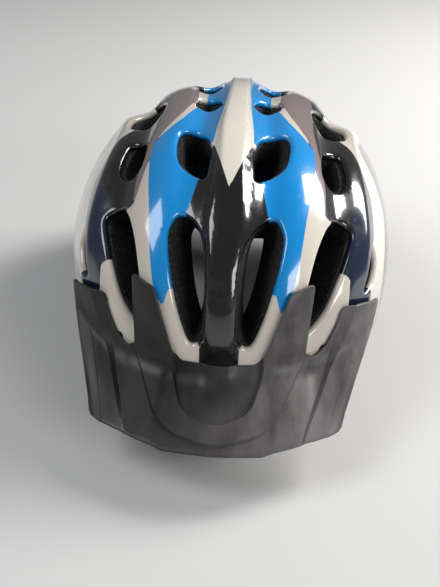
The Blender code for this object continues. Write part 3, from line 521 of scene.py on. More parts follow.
def closed_body(top, bottom, faces, rings):
    """Top and bottom sheets of one mesh joined along their open edges by rings of points.
    Returns points, faces, and for each point the top point that it came from."""
    rim, ends = np.unique(open_edges(faces), return_inverse=True)
    a, b = ends.reshape(-1, 2).T
    starts = len(top) + len(rim) * np.arange(len(rings) + 1)
    loops = [rim] + [start + np.arange(len(rim)) for start in starts[:-1]] + [starts[-1] + rim]
    walls = [np.stack([upper[b], upper[a], lower[a], lower[b]], -1)
             for upper, lower in zip(loops, loops[1:])]
    faces_out = faces.tolist() + (faces[:, ::-1] + starts[-1]).tolist()
    faces_out += np.stack(walls, 1).reshape(-1, 4).tolist()
    every = np.arange(len(top))
    source = np.concatenate([every] + [rim] * len(rings) + [every])
    return np.vstack([top] + [ring[rim] for ring in rings] + [bottom]), faces_out, source


def edge_rings(top, out, normals, size, turns, depth=0.0, curl=1):
    """Rings of points round an edge of this radius, each at an angle of its turn."""
    return [top + out * size * math.sin(a) - normals * (depth + curl * size * (1 - math.cos(a)))
            for a in np.radians(turns)]


def grid_quads(index, closed):
    """Faces between the neighbours of a grid of vertex numbers, closed along some axes."""
    for axis in closed:
        index = np.concatenate([index, np.take(index, [0], axis)], axis)
    corners = [index[:-1, :-1], index[:-1, 1:], index[1:, 1:], index[1:, :-1]]
    return np.stack(corners, -1).reshape(-1, 4).tolist()


def linked(name, data):
    thing = bpy.data.objects.new(name, data)
    bpy.context.scene.collection.objects.link(thing)
    return thing


def new_object(name, points, faces, material, sharp=None):
    mesh = bpy.data.meshes.new(name)
    mesh.from_pydata((np.asarray(points) + SHIFT).tolist(), [], faces)
    mesh.validate()
    mesh.shade_smooth()
    if sharp is not None:
        mesh.set_sharp_from_angle(angle=math.radians(sharp))
    mesh.materials.append(material)
    return linked(name, mesh)


def add_field(thing, name, values):
    attribute = thing.data.attributes.new(name, "FLOAT", "POINT")
    attribute.data.foreach_set("value", np.asarray(values, np.float32))


# ---- materials
class Look:
    """A Principled material and short ways to build the nodes that feed it."""

    def __init__(self, name, **sockets):
        self.material = bpy.data.materials.new(name)
        self.material.use_nodes = True
        self.tree = self.material.node_tree
        self.shader = self.tree.nodes["Principled BSDF"]
        for socket, value in sockets.items():
            self.shader.inputs[socket.replace("_", " ")].default_value = value
        self.where = self.tree.nodes.new("ShaderNodeTexCoord").outputs["Object"]

    def node(self, kind, inputs=(), **settings):
        node = self.tree.nodes.new("ShaderNode" + kind)
        for key, value in settings.items():
            setattr(node, key, value)
        for key, value in dict(inputs).items():
            if isinstance(value, bpy.types.NodeSocket):
                self.tree.links.new(value, node.inputs[key])
            else:
                node.inputs[key].default_value = value
        return node

    def noise(self, scale, detail=3.0, roughness=0.55, where=None):
        node = self.node("TexNoise", {"Vector": where or self.where, "Scale": scale,
                                      "Detail": detail, "Roughness": roughness})
        return node.outputs["Fac"]

    def cells(self, scale, feature="F1", where=None):
        node = self.node("TexVoronoi", {"Vector": where or self.where, "Scale": scale},
                         feature=feature)
        return node.outputs["Distance"]

    def stretched(self, scale, rotation=(0, 0, 0)):
        node = self.node("Mapping", {"Vector": self.where, "Rotation": rotation,
                                     "Scale": scale})
        return node.outputs["Vector"]

    def ramp(self, value, low, high, start=0.0, end=1.0, soft=True):
        node = self.node("MapRange", {"Value": value, "From Min": low, "From Max": high,
                                      "To Min": start, "To Max": end},
                         interpolation_type="SMOOTHSTEP" if soft else "LINEAR")
        return node.outputs["Result"]

    def maths(self, operation, first, second=0.0):
        node = self.node("Math", {0: first, 1: second}, operation=operation)
        return node.outputs[0]

    def field(self, name):
        return self.node("Attribute", attribute_name=name).outputs["Fac"]

    def mix(self, share, first, second):
        first, second = (colour if isinstance(colour, bpy.types.NodeSocket) else (*colour, 1.0)
                         for colour in (first, second))
        return self.node("Mix", {0: share, 6: first, 7: second}, data_type="RGBA").outputs[2]

    def feed(self, socket, value):
        self.tree.links.new(value, self.shader.inputs[socket])

    def bump(self, *layers):
        """Feeds the normal, and returns the material. Each layer is (height socket, strength,
        depth in metres)."""
        normal = None
        for height, strength, depth in layers:
            inputs = {"Height": height, "Strength": strength, "Distance": depth}
            if normal is not None:
                inputs["Normal"] = normal
            normal = self.node("Bump", inputs).outputs["Normal"]
        self.feed("Normal", normal)
        return self.material


PAINTS = {
    "black": (0.0065, 0.0062, 0.0068),
    "white": (0.66, 0.61, 0.53),
    "bright": (0.74, 0.70, 0.62),
    "azure": (0.001, 0.262, 0.670),
    "mauve": (0.235, 0.185, 0.180),
    "navy": (0.008, 0.017, 0.042),
}


def shell_look():
    look = Look("shell_gloss", Roughness=0.22, Coat_Weight=1.0, Coat_Roughness=0.045,
                Coat_IOR=1.5)
    colour = PAINTS["black"]
    for name, paint, _ in PAINT:
        share = look.ramp(look.field(name), -0.15, 0.15, 1.0, 0.0)
        colour = look.mix(share, colour, PAINTS[paint])
    dirt = look.ramp(look.noise(38.0, 5.0, 0.62), 0.50, 0.80)
    colour = look.mix(look.maths("MULTIPLY", dirt, 0.09), colour, (0.30, 0.27, 0.23))
    look.feed("Base Color", colour)
    scuffs = look.ramp(look.noise(420.0, 2.0, 0.7, look.stretched((1.0, 0.22, 0.6))), 0.56, 0.72)
    look.feed("Roughness", look.ramp(look.maths("ADD", dirt, scuffs), 0.0, 2.0, 0.20, 0.42))
    waves = look.noise(26.0, 2.0)
    return look.bump((waves, 0.10, 0.0006), (look.noise(900.0, 2.0), 0.03, 0.0001))


def foam_look():
    look = Look("foam_bead", Roughness=0.78, Specular_IOR_Level=0.35)
    beads = look.cells(420.0)
    seams = look.cells(420.0, "DISTANCE_TO_EDGE")
    tone = look.mix(look.ramp(beads, 0.1, 0.7), (0.036, 0.035, 0.036), (0.016, 0.016, 0.017))
    dust = look.ramp(look.noise(45.0, 4.0, 0.6), 0.48, 0.75, 0.0, 0.22)
    look.feed("Base Color", look.mix(dust, tone, (0.085, 0.080, 0.075)))
    look.feed("Roughness", look.ramp(seams, 0.0, 0.12, 0.95, 0.62))
    return look.bump((look.ramp(seams, 0.0, 0.22), 0.55, 0.0007),
                     (look.noise(900.0, 3.0), 0.2, 0.0002))


def visor_look():
    look = Look("visor_matte", Roughness=0.5, Specular_IOR_Level=0.42)
    clouds = look.noise(16.0, 6.0, 0.62)
    smears = look.noise(24.0, 5.0, 0.62, look.stretched((1.9, 0.6, 1.0), (0, 0, 0.35)))
    tone = look.mix(look.ramp(clouds, 0.35, 0.72), (0.013, 0.012, 0.0115), (0.025, 0.0232, 0.0228))
    # Dust smears and painted sheen: their pale share grows towards +x, so the right half of the
    # visor is painted lighter, as if the window light falls on it.
    toward_lit_side = look.node("SeparateXYZ", {"Vector": look.where}).outputs["X"]
    paler_share = look.maths("MULTIPLY", look.ramp(smears, 0.30, 0.74, 0.20, 1.0),
                      look.ramp(toward_lit_side, -0.030, 0.060, 0.05, 1.0))
    tone = look.mix(paler_share, tone, (0.165, 0.152, 0.155))
    # Painted shade: the sunken plate is darkened towards near black.
    shaded = look.ramp(look.field("plate"), -0.5, 2.0, 0.30, 0.0)
    tone = look.mix(shaded, tone, (0.005, 0.0045, 0.0045))
    specks = look.ramp(look.noise(900.0, 2.0, 0.6), 0.66, 0.74, 0.0, 0.22)
    tone = look.mix(specks, tone, (0.16, 0.15, 0.145))
    look.feed("Base Color", tone)
    look.feed("Roughness", look.ramp(look.maths("ADD", clouds, smears), 0.7, 1.4, 0.34, 0.56))
    grain = look.cells(1500.0)
    return look.bump((grain, 0.22, 0.00018), (look.noise(140.0, 3.0), 0.10, 0.0003))


def moulded_look(name, colour, roughness, grain=1300.0):
    """Moulded plastic with a fine spark-eroded grain, scuffed a little lighter."""
    look = Look(name, Roughness=roughness)
    paler_share = look.ramp(look.noise(120.0, 4.0, 0.6), 0.52, 0.78, 0.0, 0.35)
    lighter = tuple(min(1.0, c * 2.2 + 0.01) for c in colour)
    look.feed("Base Color", look.mix(paler_share, colour, lighter))
    look.feed("Roughness", look.ramp(look.noise(60.0), 0.3, 0.7, roughness - 0.08,
                                     roughness + 0.12))
    return look.bump((look.cells(grain), 0.25, 0.00015))


def steel_look():
    look = Look("steel_parts", Metallic=1.0)
    brushed = look.noise(900.0, 2.0, 0.6, look.stretched((1.0, 0.08, 1.0)))
    look.feed("Base Color", look.mix(brushed, (0.46, 0.46, 0.48), (0.66, 0.66, 0.67)))
    look.feed("Roughness", look.ramp(brushed, 0.2, 0.8, 0.22, 0.40))
    return look.bump((brushed, 0.15, 0.0001))


def fabric_look():
    """Brushed knit: fine loops, a soft sheen and pilling."""
    look = Look("pad_fabric", Roughness=0.95, Sheen_Weight=0.35, Sheen_Roughness=0.5,
                Specular_IOR_Level=0.2)
    waves = {"Vector": look.where, "Scale": 420.0, "Distortion": 1.5}
    rows, loops = (look.node("TexWave", waves, bands_direction=way).outputs["Fac"]
                   for way in ("Z", "DIAGONAL"))
    knit = look.maths("MULTIPLY", rows, loops)
    fuzz = look.noise(260.0, 4.0, 0.7)
    tone = look.mix(fuzz, (0.012, 0.020, 0.060), (0.030, 0.045, 0.120))
    look.feed("Base Color", look.mix(look.maths("MULTIPLY", knit, 0.5), tone,
                                     (0.055, 0.075, 0.165)))
    return look.bump((knit, 0.35, 0.0003), (fuzz, 0.3, 0.0002))


def hook_look():
    look = Look("hook_tape", Roughness=0.9, Sheen_Weight=0.15)
    hooks = look.cells(1100.0)
    look.feed("Base Color", look.mix(look.ramp(hooks, 0.1, 0.6), (0.030, 0.030, 0.031),
                                     (0.008, 0.008, 0.008)))
    return look.bump((hooks, 0.8, 0.0004))


def webbing_look():
    """Woven nylon: ribs across the strap in a herringbone, from the along and across fields."""
    look = Look("webbing_black", Roughness=0.8, Sheen_Weight=0.25, Specular_IOR_Level=0.3)
    along, across = look.field("along"), look.field("across")
    slant = look.maths("ADD", along, look.maths("MULTIPLY", look.maths("ABSOLUTE", across), 0.8))
    ribs = look.maths("SINE", look.maths("MULTIPLY", slant, 2 * math.pi / 1.3))
    yarns = look.maths("SINE", look.maths("MULTIPLY", across, 2 * math.pi / 0.75))
    weave = look.ramp(look.maths("ADD", ribs, look.maths("MULTIPLY", yarns, 0.6)), -1.6, 1.6)
    fuzz = look.noise(400.0, 3.0)
    tone = look.mix(weave, (0.008, 0.008, 0.009), (0.032, 0.032, 0.035))
    look.feed("Base Color", look.mix(look.ramp(fuzz, 0.5, 0.8, 0.0, 0.3), tone,
                                     (0.060, 0.058, 0.056)))
    return look.bump((weave, 0.5, 0.0003))


def rubber_look():
    look = Look("rubber_ring", Roughness=0.7)
    bloom = look.noise(180.0, 4.0)
    look.feed("Base Color", look.mix(bloom, (0.010, 0.010, 0.010), (0.030, 0.029, 0.028)))
    look.feed("Roughness", look.ramp(bloom, 0.3, 0.7, 0.6, 0.85))
    return look.bump((look.noise(1200.0), 0.2, 0.0001))


def floor_look():
    look = Look("studio_floor", Roughness=0.85, Specular_IOR_Level=0.2)
    look.feed("Base Color", look.mix(look.noise(3.0), (0.60, 0.60, 0.595), (0.63, 0.63, 0.625)))
    return look.material


# ---- shell and foam
def nearest_outline(ways, outlines, margin):
    """Distance to the nearest of the outlines, and the nearest place on it."""
    best = np.full(len(ways), margin)
    nearest = plain_point(ways)
    for outline in outlines:
        distance, place = outline_distance(ways, outline, margin)
        closer = distance < best
        best[closer] = distance[closer]
        nearest[closer] = place[closer]
    return best, nearest


def vent_field(ways, vents=VENTS):
    return nearest_outline(ways, [spline(vent, 6, True) for vent in vents], FIELD_REACH)


def peg_field(ways):
    return nearest_outline(ways, peg_outlines(), FIELD_REACH)


def rim_field(ways, lift):
    """Distance above the wavy lower edge, and the way up from it."""
    points = dome_point(ways)
    step = 0.001
    rise = (rim_height(points[:, 1] + step) - rim_height(points[:, 1] - step)) / (2 * step)
    length = np.sqrt(1 + rise ** 2)
    up = np.stack([0 * rise, -rise / length, 1 / length], -1)
    return (points[:, 2] - rim_height(points[:, 1]) - lift) / length, up


def snapped(ways, vent_edge, rim_edge, lift, with_pegs):
    """Directions and field, with the points near an edge moved onto it."""
    for _ in range(2):
        vents, nearest = vent_field(ways)
        rim, up = rim_field(ways, lift)
        points = plain_point(ways)
        by_vent = vents - vent_edge
        by_rim = rim - rim_edge
        away = (points - nearest) / np.where(np.abs(vents) < 1e-6, 1e-6, vents)[:, None]
        field = np.minimum(by_vent, by_rim)
        move = np.where((by_vent < by_rim)[:, None], away, up)
        close = np.abs(field) < SNAP_REACH
        ways = ways.copy()
        ways[close] = unit(points[close] - CENTRE - move[close] * field[close, None])
    field[close] = 0.0
    if with_pegs:
        pegs = peg_field(ways)[0] - PEG_LIP
        near_peg = pegs < np.where(close, 0.0, field)
        field = np.where(near_peg, pegs, field)
    return ways, field


def shell(looks, base):
    ways, faces = base
    ways, field = snapped(ways, VENT_LIP, RIM_LIP, SHELL_EDGE_LIFT, True)
    ways, faces = clip(ways, faces, field)
    ways, faces = biggest_part(unit(ways), faces)
    top = dome_point(ways)
    normals = dome_normals(ways)
    plain = plain_point(ways)
    vents, by_vent = vent_field(ways)
    pegs, by_peg = peg_field(ways)
    at_vent, at_peg = vents < VENT_LIP + LIP_REACH, pegs < PEG_LIP + LIP_REACH
    out = np.where(at_vent[:, None], by_vent - plain, np.array([0.0, 0.0, -1.0]))
    out = np.where(at_peg[:, None], by_peg - plain, out)
    out = unit(out - normals * (out * normals).sum(1, keepdims=True))
    lip = np.where(at_peg, PEG_LIP, np.where(at_vent, VENT_LIP, RIM_LIP))[:, None]
    inner = np.maximum(lip - SHELL_WALL, 0.0002)
    foot = normals * (lip + LIP_WALL)
    rings = edge_rings(top, out, normals, lip, (20, 40, 60, 78, 90))
    rings += [top + out * lip - foot, top + out * inner - foot]
    rings += edge_rings(top, out, normals, inner, (90, 55, 25), SHELL_WALL)
    points, faces_out, source = closed_body(top, top - normals * SHELL_WALL, faces, rings)
    skin = new_object("shell_skin", points, faces_out, looks["shell_gloss"])
    for name, _, outline in PAINT:
        edge = mirrored(outline) if name in ("ridge_field", "kite_field") else outline
        if name == "outer_band":
            edge = np.vstack([spline(OUTER_EDGE, 4), spline(OUTER_SIDE, 4)])
        distance = outline_distance(ways, edge, 0.004)[0] * 1000
        add_field(skin, name, distance[source])
    return skin


def front_vent_taper(ways):
    """Directions drawn into the two long front vents, which narrow towards the head."""
    distance, place = vent_field(ways, VENTS[:1])
    plain = plain_point(ways)
    near_zero = np.abs(distance) < 1e-5
    away = (plain - place) / np.where(near_zero, 1.0, distance)[:, None]
    pull = VENT_TAPER * (1 - smooth(distance, 0.0, TAPER_REACH))
    return unit(plain - away * pull[:, None] - CENTRE)


def foam(looks, base):
    ways, faces = base
    ways, field = snapped(ways, FOAM_VENT_EDGE, 0.0, 0.0, False)
    ways, faces = clip(ways, faces, field)
    ways, faces = biggest_part(unit(ways), faces)
    pegs = peg_field(ways)[0]
    near_hole = np.minimum(vent_field(ways)[0], pegs)
    inset = FOAM_INSET + (FOAM_DIP - FOAM_INSET) * (1 - smooth(near_hole, *DIP_EDGE))
    inset += PEG_POCKET * (1 - smooth(pegs, *POCKET_EDGE))
    near_rim = rim_field(ways, SHELL_EDGE_LIFT)[0]
    inset = np.where(near_rim < 0.0, FOAM_INSET - 0.0010, inset)
    top = dome_point(ways, inset)
    over, side = chart(ways)
    side = np.abs(side)
    groove = CHANNEL_DEPTH * (bell(side - interpolate(INNER_ROW, over), CHANNEL_WIDTH)
                              + bell(side - interpolate(SIDE_ROW, over), CHANNEL_WIDTH))
    groove *= smooth(over, 38, 52) * (1 - smooth(over, 150, 168))
    tapered = front_vent_taper(ways)
    bottom = cavity_point(tapered, -groove)
    below = top[:, 2] < CENTRE_Z
    flat = unit(tapered[below] * np.array([1.0, 1.0, 0.0]))
    bottom[below] = ring_point(flat[:, 0], flat[:, 1], top[below, 2])
    rings = [top + (bottom - top) * share for share in np.linspace(0, 1, 9)[1:-1]]
    points, faces_out, _ = closed_body(top, bottom, faces, rings)
    return new_object("foam_body", points, faces_out, looks["foam_bead"], sharp=42)


# ---- visor
BROW_CURVE, BRIM_CURVE = spline(BROW, 6), spline(BRIM, 6)


def brow_height(u):
    return interpolate(BROW_CURVE, u)


def brow_point(wide, above=0.0):
    """The visor's outer face at the brow, or a height above it up the shell."""
    return shell_at(wide, brow_height(wide) + above, VISOR_CLEARANCE + VISOR_WALL)


def brim_point(u):
    return np.stack([np.interp(u, BRIM_CURVE[:, 0], BRIM_CURVE[:, k]) for k in (1, 2, 3)], -1)


def visor_base(u, v):
    """The visor's outer face before its features: up the shell for v > 0, and along the
    brim for v < 0. u is the width on the brow."""
    wide = np.abs(u)
    brow, up_shell = brow_point(wide), brow_point(wide, np.maximum(v, 0.0))
    run = brim_point(wide) - brow
    along = brow + unit(run) * np.maximum(-v, 0.0)[:, None]
    point = np.where((v > 0)[:, None], up_shell, along)
    point[:, 0] *= np.sign(u) + (u == 0)
    return point


def visor_surface(u, v):
    """visor_base with a rounded bend where the brim leaves the shell."""
    spread = BEND * np.clip(1 - (v / (2.2 * BEND)) ** 2, 0, 1)
    total, weights = np.zeros((len(u), 3)), 0.0
    for share in np.linspace(-1, 1, 13):
        weight = 1.05 - share ** 2
        total += visor_base(u, v + share * spread) * weight
        weights += weight
    return total / weights


def brim_length(u):
    notch = 0.0011 * smooth(u, 0.0255, 0.0275)
    return sizes(brim_point(u) - brow_point(u)) - 0.0006 - notch


def rounded(points, radius):
    """A closed outline with each corner cut by a short arc."""
    result = []
    count = len(points)
    for k in range(count):
        before, corner, after = (np.array(points[(k + s) % count]) for s in (-1, 0, 1))
        back, ahead = before - corner, after - corner
        size = min(radius, 0.45 * np.linalg.norm(back), 0.45 * np.linalg.norm(ahead))
        start = corner + unit(back) * size
        end = corner + unit(ahead) * size
        for t in (0.0, 0.33, 0.67, 1.0):
            result.append((1 - t) ** 2 * start + 2 * t * (1 - t) * corner + t * t * end)
    return np.array(result)


def evenly(points, step, closed):
    """Points along a polyline, about a step apart, corners kept."""
    result = []
    points = [np.array(p, float) for p in points]
    ends = points[1:] + ([points[0]] if closed else [])
    for start, end in zip(points, ends):
        parts = max(1, round(np.linalg.norm(end - start) / step))
        result += [start + (end - start) * k / parts for k in range(parts)]
    if not closed:
        result.append(points[-1])
    return np.array(result)


def visor_outline():
    half = [(x, z - float(brow_height(x))) for x, z in VISOR_TOP]
    brim_u = np.concatenate([np.linspace(0.0885, 0.0310, 16), np.linspace(0.0278, 0.0, 9)])
    half += list(zip(brim_u, -brim_length(brim_u)))
    left = [(-u, v) for u, v in reversed(half) if u > 0]
    corners = rounded(half[1:] + left, VISOR_CORNER)
    return evenly(corners, VISOR_CELL, True)


def offset_line(points, distance):
    """A polyline moved sideways, to the left of its direction for a positive distance."""
    points = np.array(points, float)
    run = unit(np.gradient(points, axis=0))
    return points + np.stack([-run[:, 1], run[:, 0]], -1) * distance


def line_side(u, v, line):
    """Signed distance from an endless straight line, positive on the outer side."""
    (u0, v0), (u1, v1) = line
    run = unit(np.array([u1 - u0, v1 - v0]))
    return run[0] * (v - v0) - run[1] * (np.abs(u) - u0)


def flat_distance(u, v, outline):
    """Signed distance in the visor's own plane, negative inside a closed outline."""
    points = np.stack([u, v], -1)
    gap, _ = to_segments(points, outline, np.roll(outline, -1, 0))
    return np.where(inside_outline(u, v, outline), -gap, gap)


def visor_height(u, v, plate, band):
    """Height of the visor's features over its base surface."""
    height = -PLATE_DROP * (1 - slope(flat_distance(u, v, plate), RAMP))
    height -= BAND_DROP * slope(flat_distance(u, v, band), RAMP)
    along = slope(STEP_A[0][1] - v, STEP_A[0][1] - STEP_A[1][1])
    rise = STEP_A_RISE * (1 - along) ** 0.8
    height += rise * slope(line_side(u, v, STEP_A), np.interp(along, (0, 1), STEP_A_WIDTH))
    return height - STEP_B_DROP * slope(line_side(u, v, STEP_B), STEP_B_WIDTH[0])


def both_halves(line):
    """A line that ends on the middle, continued down the other half."""
    line = np.array(line, float)
    return np.vstack([line, (line * np.array([-1, 1]))[::-1][1:]])


def visor_plan(outline, lines):
    """Flat triangle mesh of the visor in (u, v), with edges along the outline and the lines."""
    fixed, edges, at = np.vstack([outline] + lines), [], 0
    for k, line in enumerate([outline] + lines):
        ids = np.arange(at, at + len(line))
        pairs = np.stack([ids, np.roll(ids, -1)], -1)
        edges += (pairs[:-1] if k else pairs).tolist()
        at += len(line)
    inner = []
    for k, v in enumerate(np.arange(*PLAN_V, VISOR_CELL * 0.866)):
        us = np.arange(*PLAN_U, VISOR_CELL) + (k % 2) * VISOR_CELL / 2
        inner.append(np.stack([us, np.full(len(us), v)], -1))
    inner = np.vstack(inner)
    clear = np.ones(len(inner), bool)
    for start in range(0, len(fixed), 400):
        gap = sizes(inner[:, None] - fixed[None, start:start + 400]).min(1)
        clear &= gap > VISOR_CELL * 0.62
    inner = inner[clear & inside_outline(inner[:, 0], inner[:, 1], outline)]
    flat = [Vector(p) for p in np.vstack([fixed, inner])]
    points, _, faces, _, _, _ = delaunay_2d_cdt(flat, edges, [], 0, 1e-6)
    uv = np.array([p[:] for p in points])
    faces = np.array([f for f in faces if len(f) == 3])
    middle_u, middle_v = uv[faces].mean(1).T
    return compact(uv, faces[inside_outline(middle_u, middle_v, outline)])


def visor(looks):
    plate, band = (both_halves(spline(line, 5)) for line in (PLATE, BAND))
    lines = [offset_line(line, shift * RAMP) for line in (plate, band) for shift in (0.0, 1.0)]
    for line, widths in ((STEP_A, STEP_A_WIDTH), (STEP_B, STEP_B_WIDTH)):
        for shift in (0.0, 1.0):
            moved = offset_line(line, shift * np.array(widths)[:, None])
            lines += [moved, moved * np.array([-1, 1])]
    uv, faces = visor_plan(visor_outline(), [evenly(line, VISOR_CELL, False) for line in lines])
    u, v = uv.T
    base = visor_surface(u, v)
    normals = vertex_normals(base, faces)
    if (normals[:, 2] - normals[:, 1]).mean() < 0:
        faces, normals = faces[:, ::-1], -normals
    top = base + normals * visor_height(u, v, plate, band)[:, None]
    out = outward(top, normals, open_edges(faces))
    rings = edge_rings(top, out, normals, VISOR_EDGE, (30, 60, 90))
    rings += edge_rings(top, out, normals, VISOR_EDGE, (90, 60, 30), VISOR_WALL, -1)
    points, faces_out, source = closed_body(top, top - normals * VISOR_WALL, faces, rings)
    blade = new_object("visor_blade", points, faces_out, looks["visor_matte"], sharp=24)
    add_field(blade, "plate", (flat_distance(u, v, plate) * 1000)[source])
    return blade


# ---- pads
def cushion(node, body, u, v, shape, size, place, material):
    """A pad with a sealed edge and stitched channels on a grid of (u, v) from -1 to 1.
    place(depth) gives the grid's points at a depth off the pad's back."""
    size_u, size_v = size
    edge = np.minimum((1 - np.abs(u)) * size_u, (1 - np.abs(v)) * size_v)
    puff = np.sqrt(smooth(edge, PAD_SEAM * 0.6, PAD_SEAM + PAD_SWELL))
    lengthwise = v if size_v > size_u else u
    channels = max(2, round(2 * max(size_u, size_v) / PAD_CHANNEL))
    stitch = np.cos(math.pi * channels * (lengthwise + 1) / 2) ** 12
    full = PAD_WALL - PAD_PUFF
    sunk = 1 - STITCH_DEPTH * stitch * (edge > PAD_SEAM)
    front = place(PAD_HEM + (full - PAD_HEM) * puff * sunk)
    back = place(0 * u)
    index = np.arange(len(u)).reshape(shape)
    quads = np.stack([index[:-1, :-1], index[1:, :-1], index[1:, 1:], index[:-1, 1:]], -1)
    quads = quads.reshape(-1, 4)
    faces = np.vstack([quads[:, [0, 1, 2]], quads[:, [0, 2, 3]]])
    normals = vertex_normals(front, faces)
    if ((front - back) * normals).sum() < 0:
        faces, normals = faces[:, ::-1], -normals
    out = outward(front, normals, open_edges(faces))
    ring = (front + back) / 2 + out * 0.0004
    points, faces_out, _ = closed_body(front, back, faces, [ring])
    piece = new_object(node.replace("_pad", "_cushion"), points, faces_out, material)
    pinned = np.ones(len(points), bool)
    pinned[:len(front)] = (edge < PAD_SEAM) | (stitch > STITCH_HELD)
    seams = piece.vertex_groups.new(name="seams")
    seams.add(np.flatnonzero(pinned).tolist(), 1.0, "REPLACE")
    stand_in(piece, body, "pad_fabric", node)
    return piece


def pad_grid(shape):
    """u and v from -1 to 1 at the points of a grid."""
    sides = (np.linspace(-1, 1, count) for count in shape)
    return (grid.ravel() for grid in np.meshgrid(*sides, indexing="ij"))


def cavity_pad(node, ranges, material):
    over0, over1, side0, side1 = ranges
    size = [math.radians(turn) * PAD_RADIUS / 2 for turn in (side1 - side0, over1 - over0)]
    shape = (45, 25) if size[0] > size[1] else (21, 53)
    u, v = pad_grid(shape)
    over = (over0 + over1) / 2 + (over1 - over0) / 2 * v * (1 - PAD_TAPER * u ** 4)
    side = (side0 + side1) / 2 + (side1 - side0) / 2 * u * (1 - PAD_TAPER * v ** 4)
    ways = heading(over, side)
    return cushion(node, "helmet", u, v, shape, size,
                   lambda depth: cavity_point(ways, PAD_INSET + depth), material)


def nape_pad(node, material):
    low, high = (np.array(corner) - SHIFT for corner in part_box(node))
    middle, half = (low + high) / 2, (high - low) / 2
    shape = (19, 27)
    u, v = pad_grid(shape)
    x = middle[0] + half[0] * u * (1 - NAPE_TAPER * v ** 4)
    z = middle[2] + half[2] * v * (1 - NAPE_TAPER * u ** 4)
    thin = 2 * half[1] / PAD_WALL
    return cushion(node, "cradle_unit", u, v, shape, (half[0], half[2]),
                   lambda depth: np.stack([x, high[1] - depth * thin, z], -1), material)


def inflate(pieces):
    """Cloth with a little pressure puffs each pad between its seams."""
    scene = bpy.context.scene
    for piece in pieces:
        cloth = piece.modifiers.new("cloth", "CLOTH")
        for setting, value in CLOTH.items():
            setattr(cloth.settings, setting, value)
        cloth.settings.effector_weights.gravity = 0.0
        cloth.collision_settings.use_collision = False
    for frame_number in range(1, CLOTH_FRAMES + 1):
        scene.frame_set(frame_number)
    graph = bpy.context.evaluated_depsgraph_get()
    for piece in pieces:
        count = len(piece.data.vertices)
        start, moved = np.empty(count * 3), np.empty(count * 3)
        piece.data.vertices.foreach_get("co", start)
        piece.evaluated_get(graph).data.vertices.foreach_get("co", moved)
        move = (moved - start).reshape(-1, 3)
        length = np.linalg.norm(move, axis=1, keepdims=True)
        move *= np.minimum(1.0, PAD_PUFF / np.maximum(length, 1e-9))
        piece.data.vertices.foreach_set("co", (start.reshape(-1, 3) + move).ravel())
        piece.modifiers.remove(piece.modifiers["cloth"])
    scene.frame_set(1)
    for piece in pieces:
        smoother = piece.modifiers.new("round", "SUBSURF")
        smoother.levels = smoother.render_levels = 1
        graph = bpy.context.evaluated_depsgraph_get()
        mesh = bpy.data.meshes.new_from_object(piece.evaluated_get(graph))
        piece.modifiers.clear()
        piece.vertex_groups.clear()
        piece.data = mesh


# ---- straps
def webbing(name, node, body, path, material):
    """Woven strap that stands on edge along the path, with rounded selvages."""
    path = np.array([p[:] for p in path], float)
    run = unit(np.gradient(path, axis=0))
    out = unit(np.stack([run[:, 1], -run[:, 0], 0 * run[:, 0]], -1))
    up = np.cross(out, run)
    half_w, half_t = WEB_WIDTH / 2 - WEB_SELVAGE, WEB_WALL / 2 - 0.0001
    share = np.linspace(-1, 1, 11)
    face = np.stack([share * half_w, half_t * np.where(abs(share) < 0.9, 1.0, 0.75)], -1)
    tip = np.array([[half_w + WEB_SELVAGE, 0.0]])
    section = np.vstack([face, tip, (face * [1, -1])[::-1], -tip])
    length = np.concatenate([[0], np.cumsum(sizes(np.diff(path, axis=0)))])
    points = path[:, None] + up[:, None] * section[:, :1] + out[:, None] * section[:, 1:]
    index = np.arange(len(path) * len(section)).reshape(len(path), len(section))
    faces = grid_quads(index, (1,)) + [index[0, ::-1].tolist(), index[-1].tolist()]
    strap = new_object(name, points.reshape(-1, 3), faces, material, sharp=50)
    recalculate(strap)
    add_field(strap, "along", np.repeat(length * 1000, len(section)))
    add_field(strap, "across", np.tile(section[:, 0] * 1000, len(path)))
    stand_in(strap, body, "webbing_black", node)
    return strap


def stand_in(piece, body, slot, *nodes):
    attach(piece, body)
    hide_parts(*nodes)


def recalculate(thing):
    bm = bmesh.new()
    bm.from_mesh(thing.data)
    bmesh.ops.recalc_face_normals(bm, faces=bm.faces)
    bm.to_mesh(thing.data)
    bm.free()


def anchor_place(which, shift=0.0):
    azimuth = math.radians(STRAP_ANCHORS[which] + shift)
    return Vector(ring_point(np.array([math.sin(azimuth)]), np.array([-math.cos(azimuth)]),
                             np.array([WEB_Z]), ANCHOR_INSET)[0])


def straps(looks):
    material = looks["webbing_black"]
    dx, dy, dz = DIVIDER
    for which, way in (("front", -1), ("rear", 1)):
        place = anchor_place(which)
        end = Vector((dx, dy + way * (DIVIDER_SIZE[1] / 2 + GAP), dz))
        toward = (anchor_place(which, -way * 8) - place).normalized()
        start = place + toward * (ANCHOR_LENGTH / 2 + 2 * GAP)
        points = [start, start + toward * 0.008, end + Vector((-0.0010, way * 0.014, 0)), end]
        path = spline(points, 12)
        for name, sign in (("left", -1), ("right", 1)):
            side = path * np.array([sign, 1, 1])
            webbing(f"{which}_webbing_{name}", f"{which}_strap_{name}", "helmet", side,
                    material)
    inner = dx - DIVIDER_SIZE[0] / 2 - 0.0012
    exit_point = BUCKLE_CENTRE + BUCKLE_HEADING * (MALE_GRIP + GAP)
    points = [tuple(exit_point), tuple(exit_point + BUCKLE_HEADING * 0.010)]
    points += [(x, y, WEB_Z) for x, y in CHIN_ROUTE + [(-inner, dy - 0.002)]]
    webbing("chin_webbing_long", "chin_strap_long", "chin_strap", spline(points, 12), material)
    end = Vector((inner, dy + 0.006, WEB_Z))
    back = BUCKLE_CENTRE - BUCKLE_HEADING * (FEMALE_LENGTH + 2 * GAP)
    points = [back, back - BUCKLE_HEADING * 0.006, end - Vector((0.0004, 0.006, 0)), end]
    webbing("chin_webbing_short", "chin_strap_short", "helmet", spline(points, 8), material)


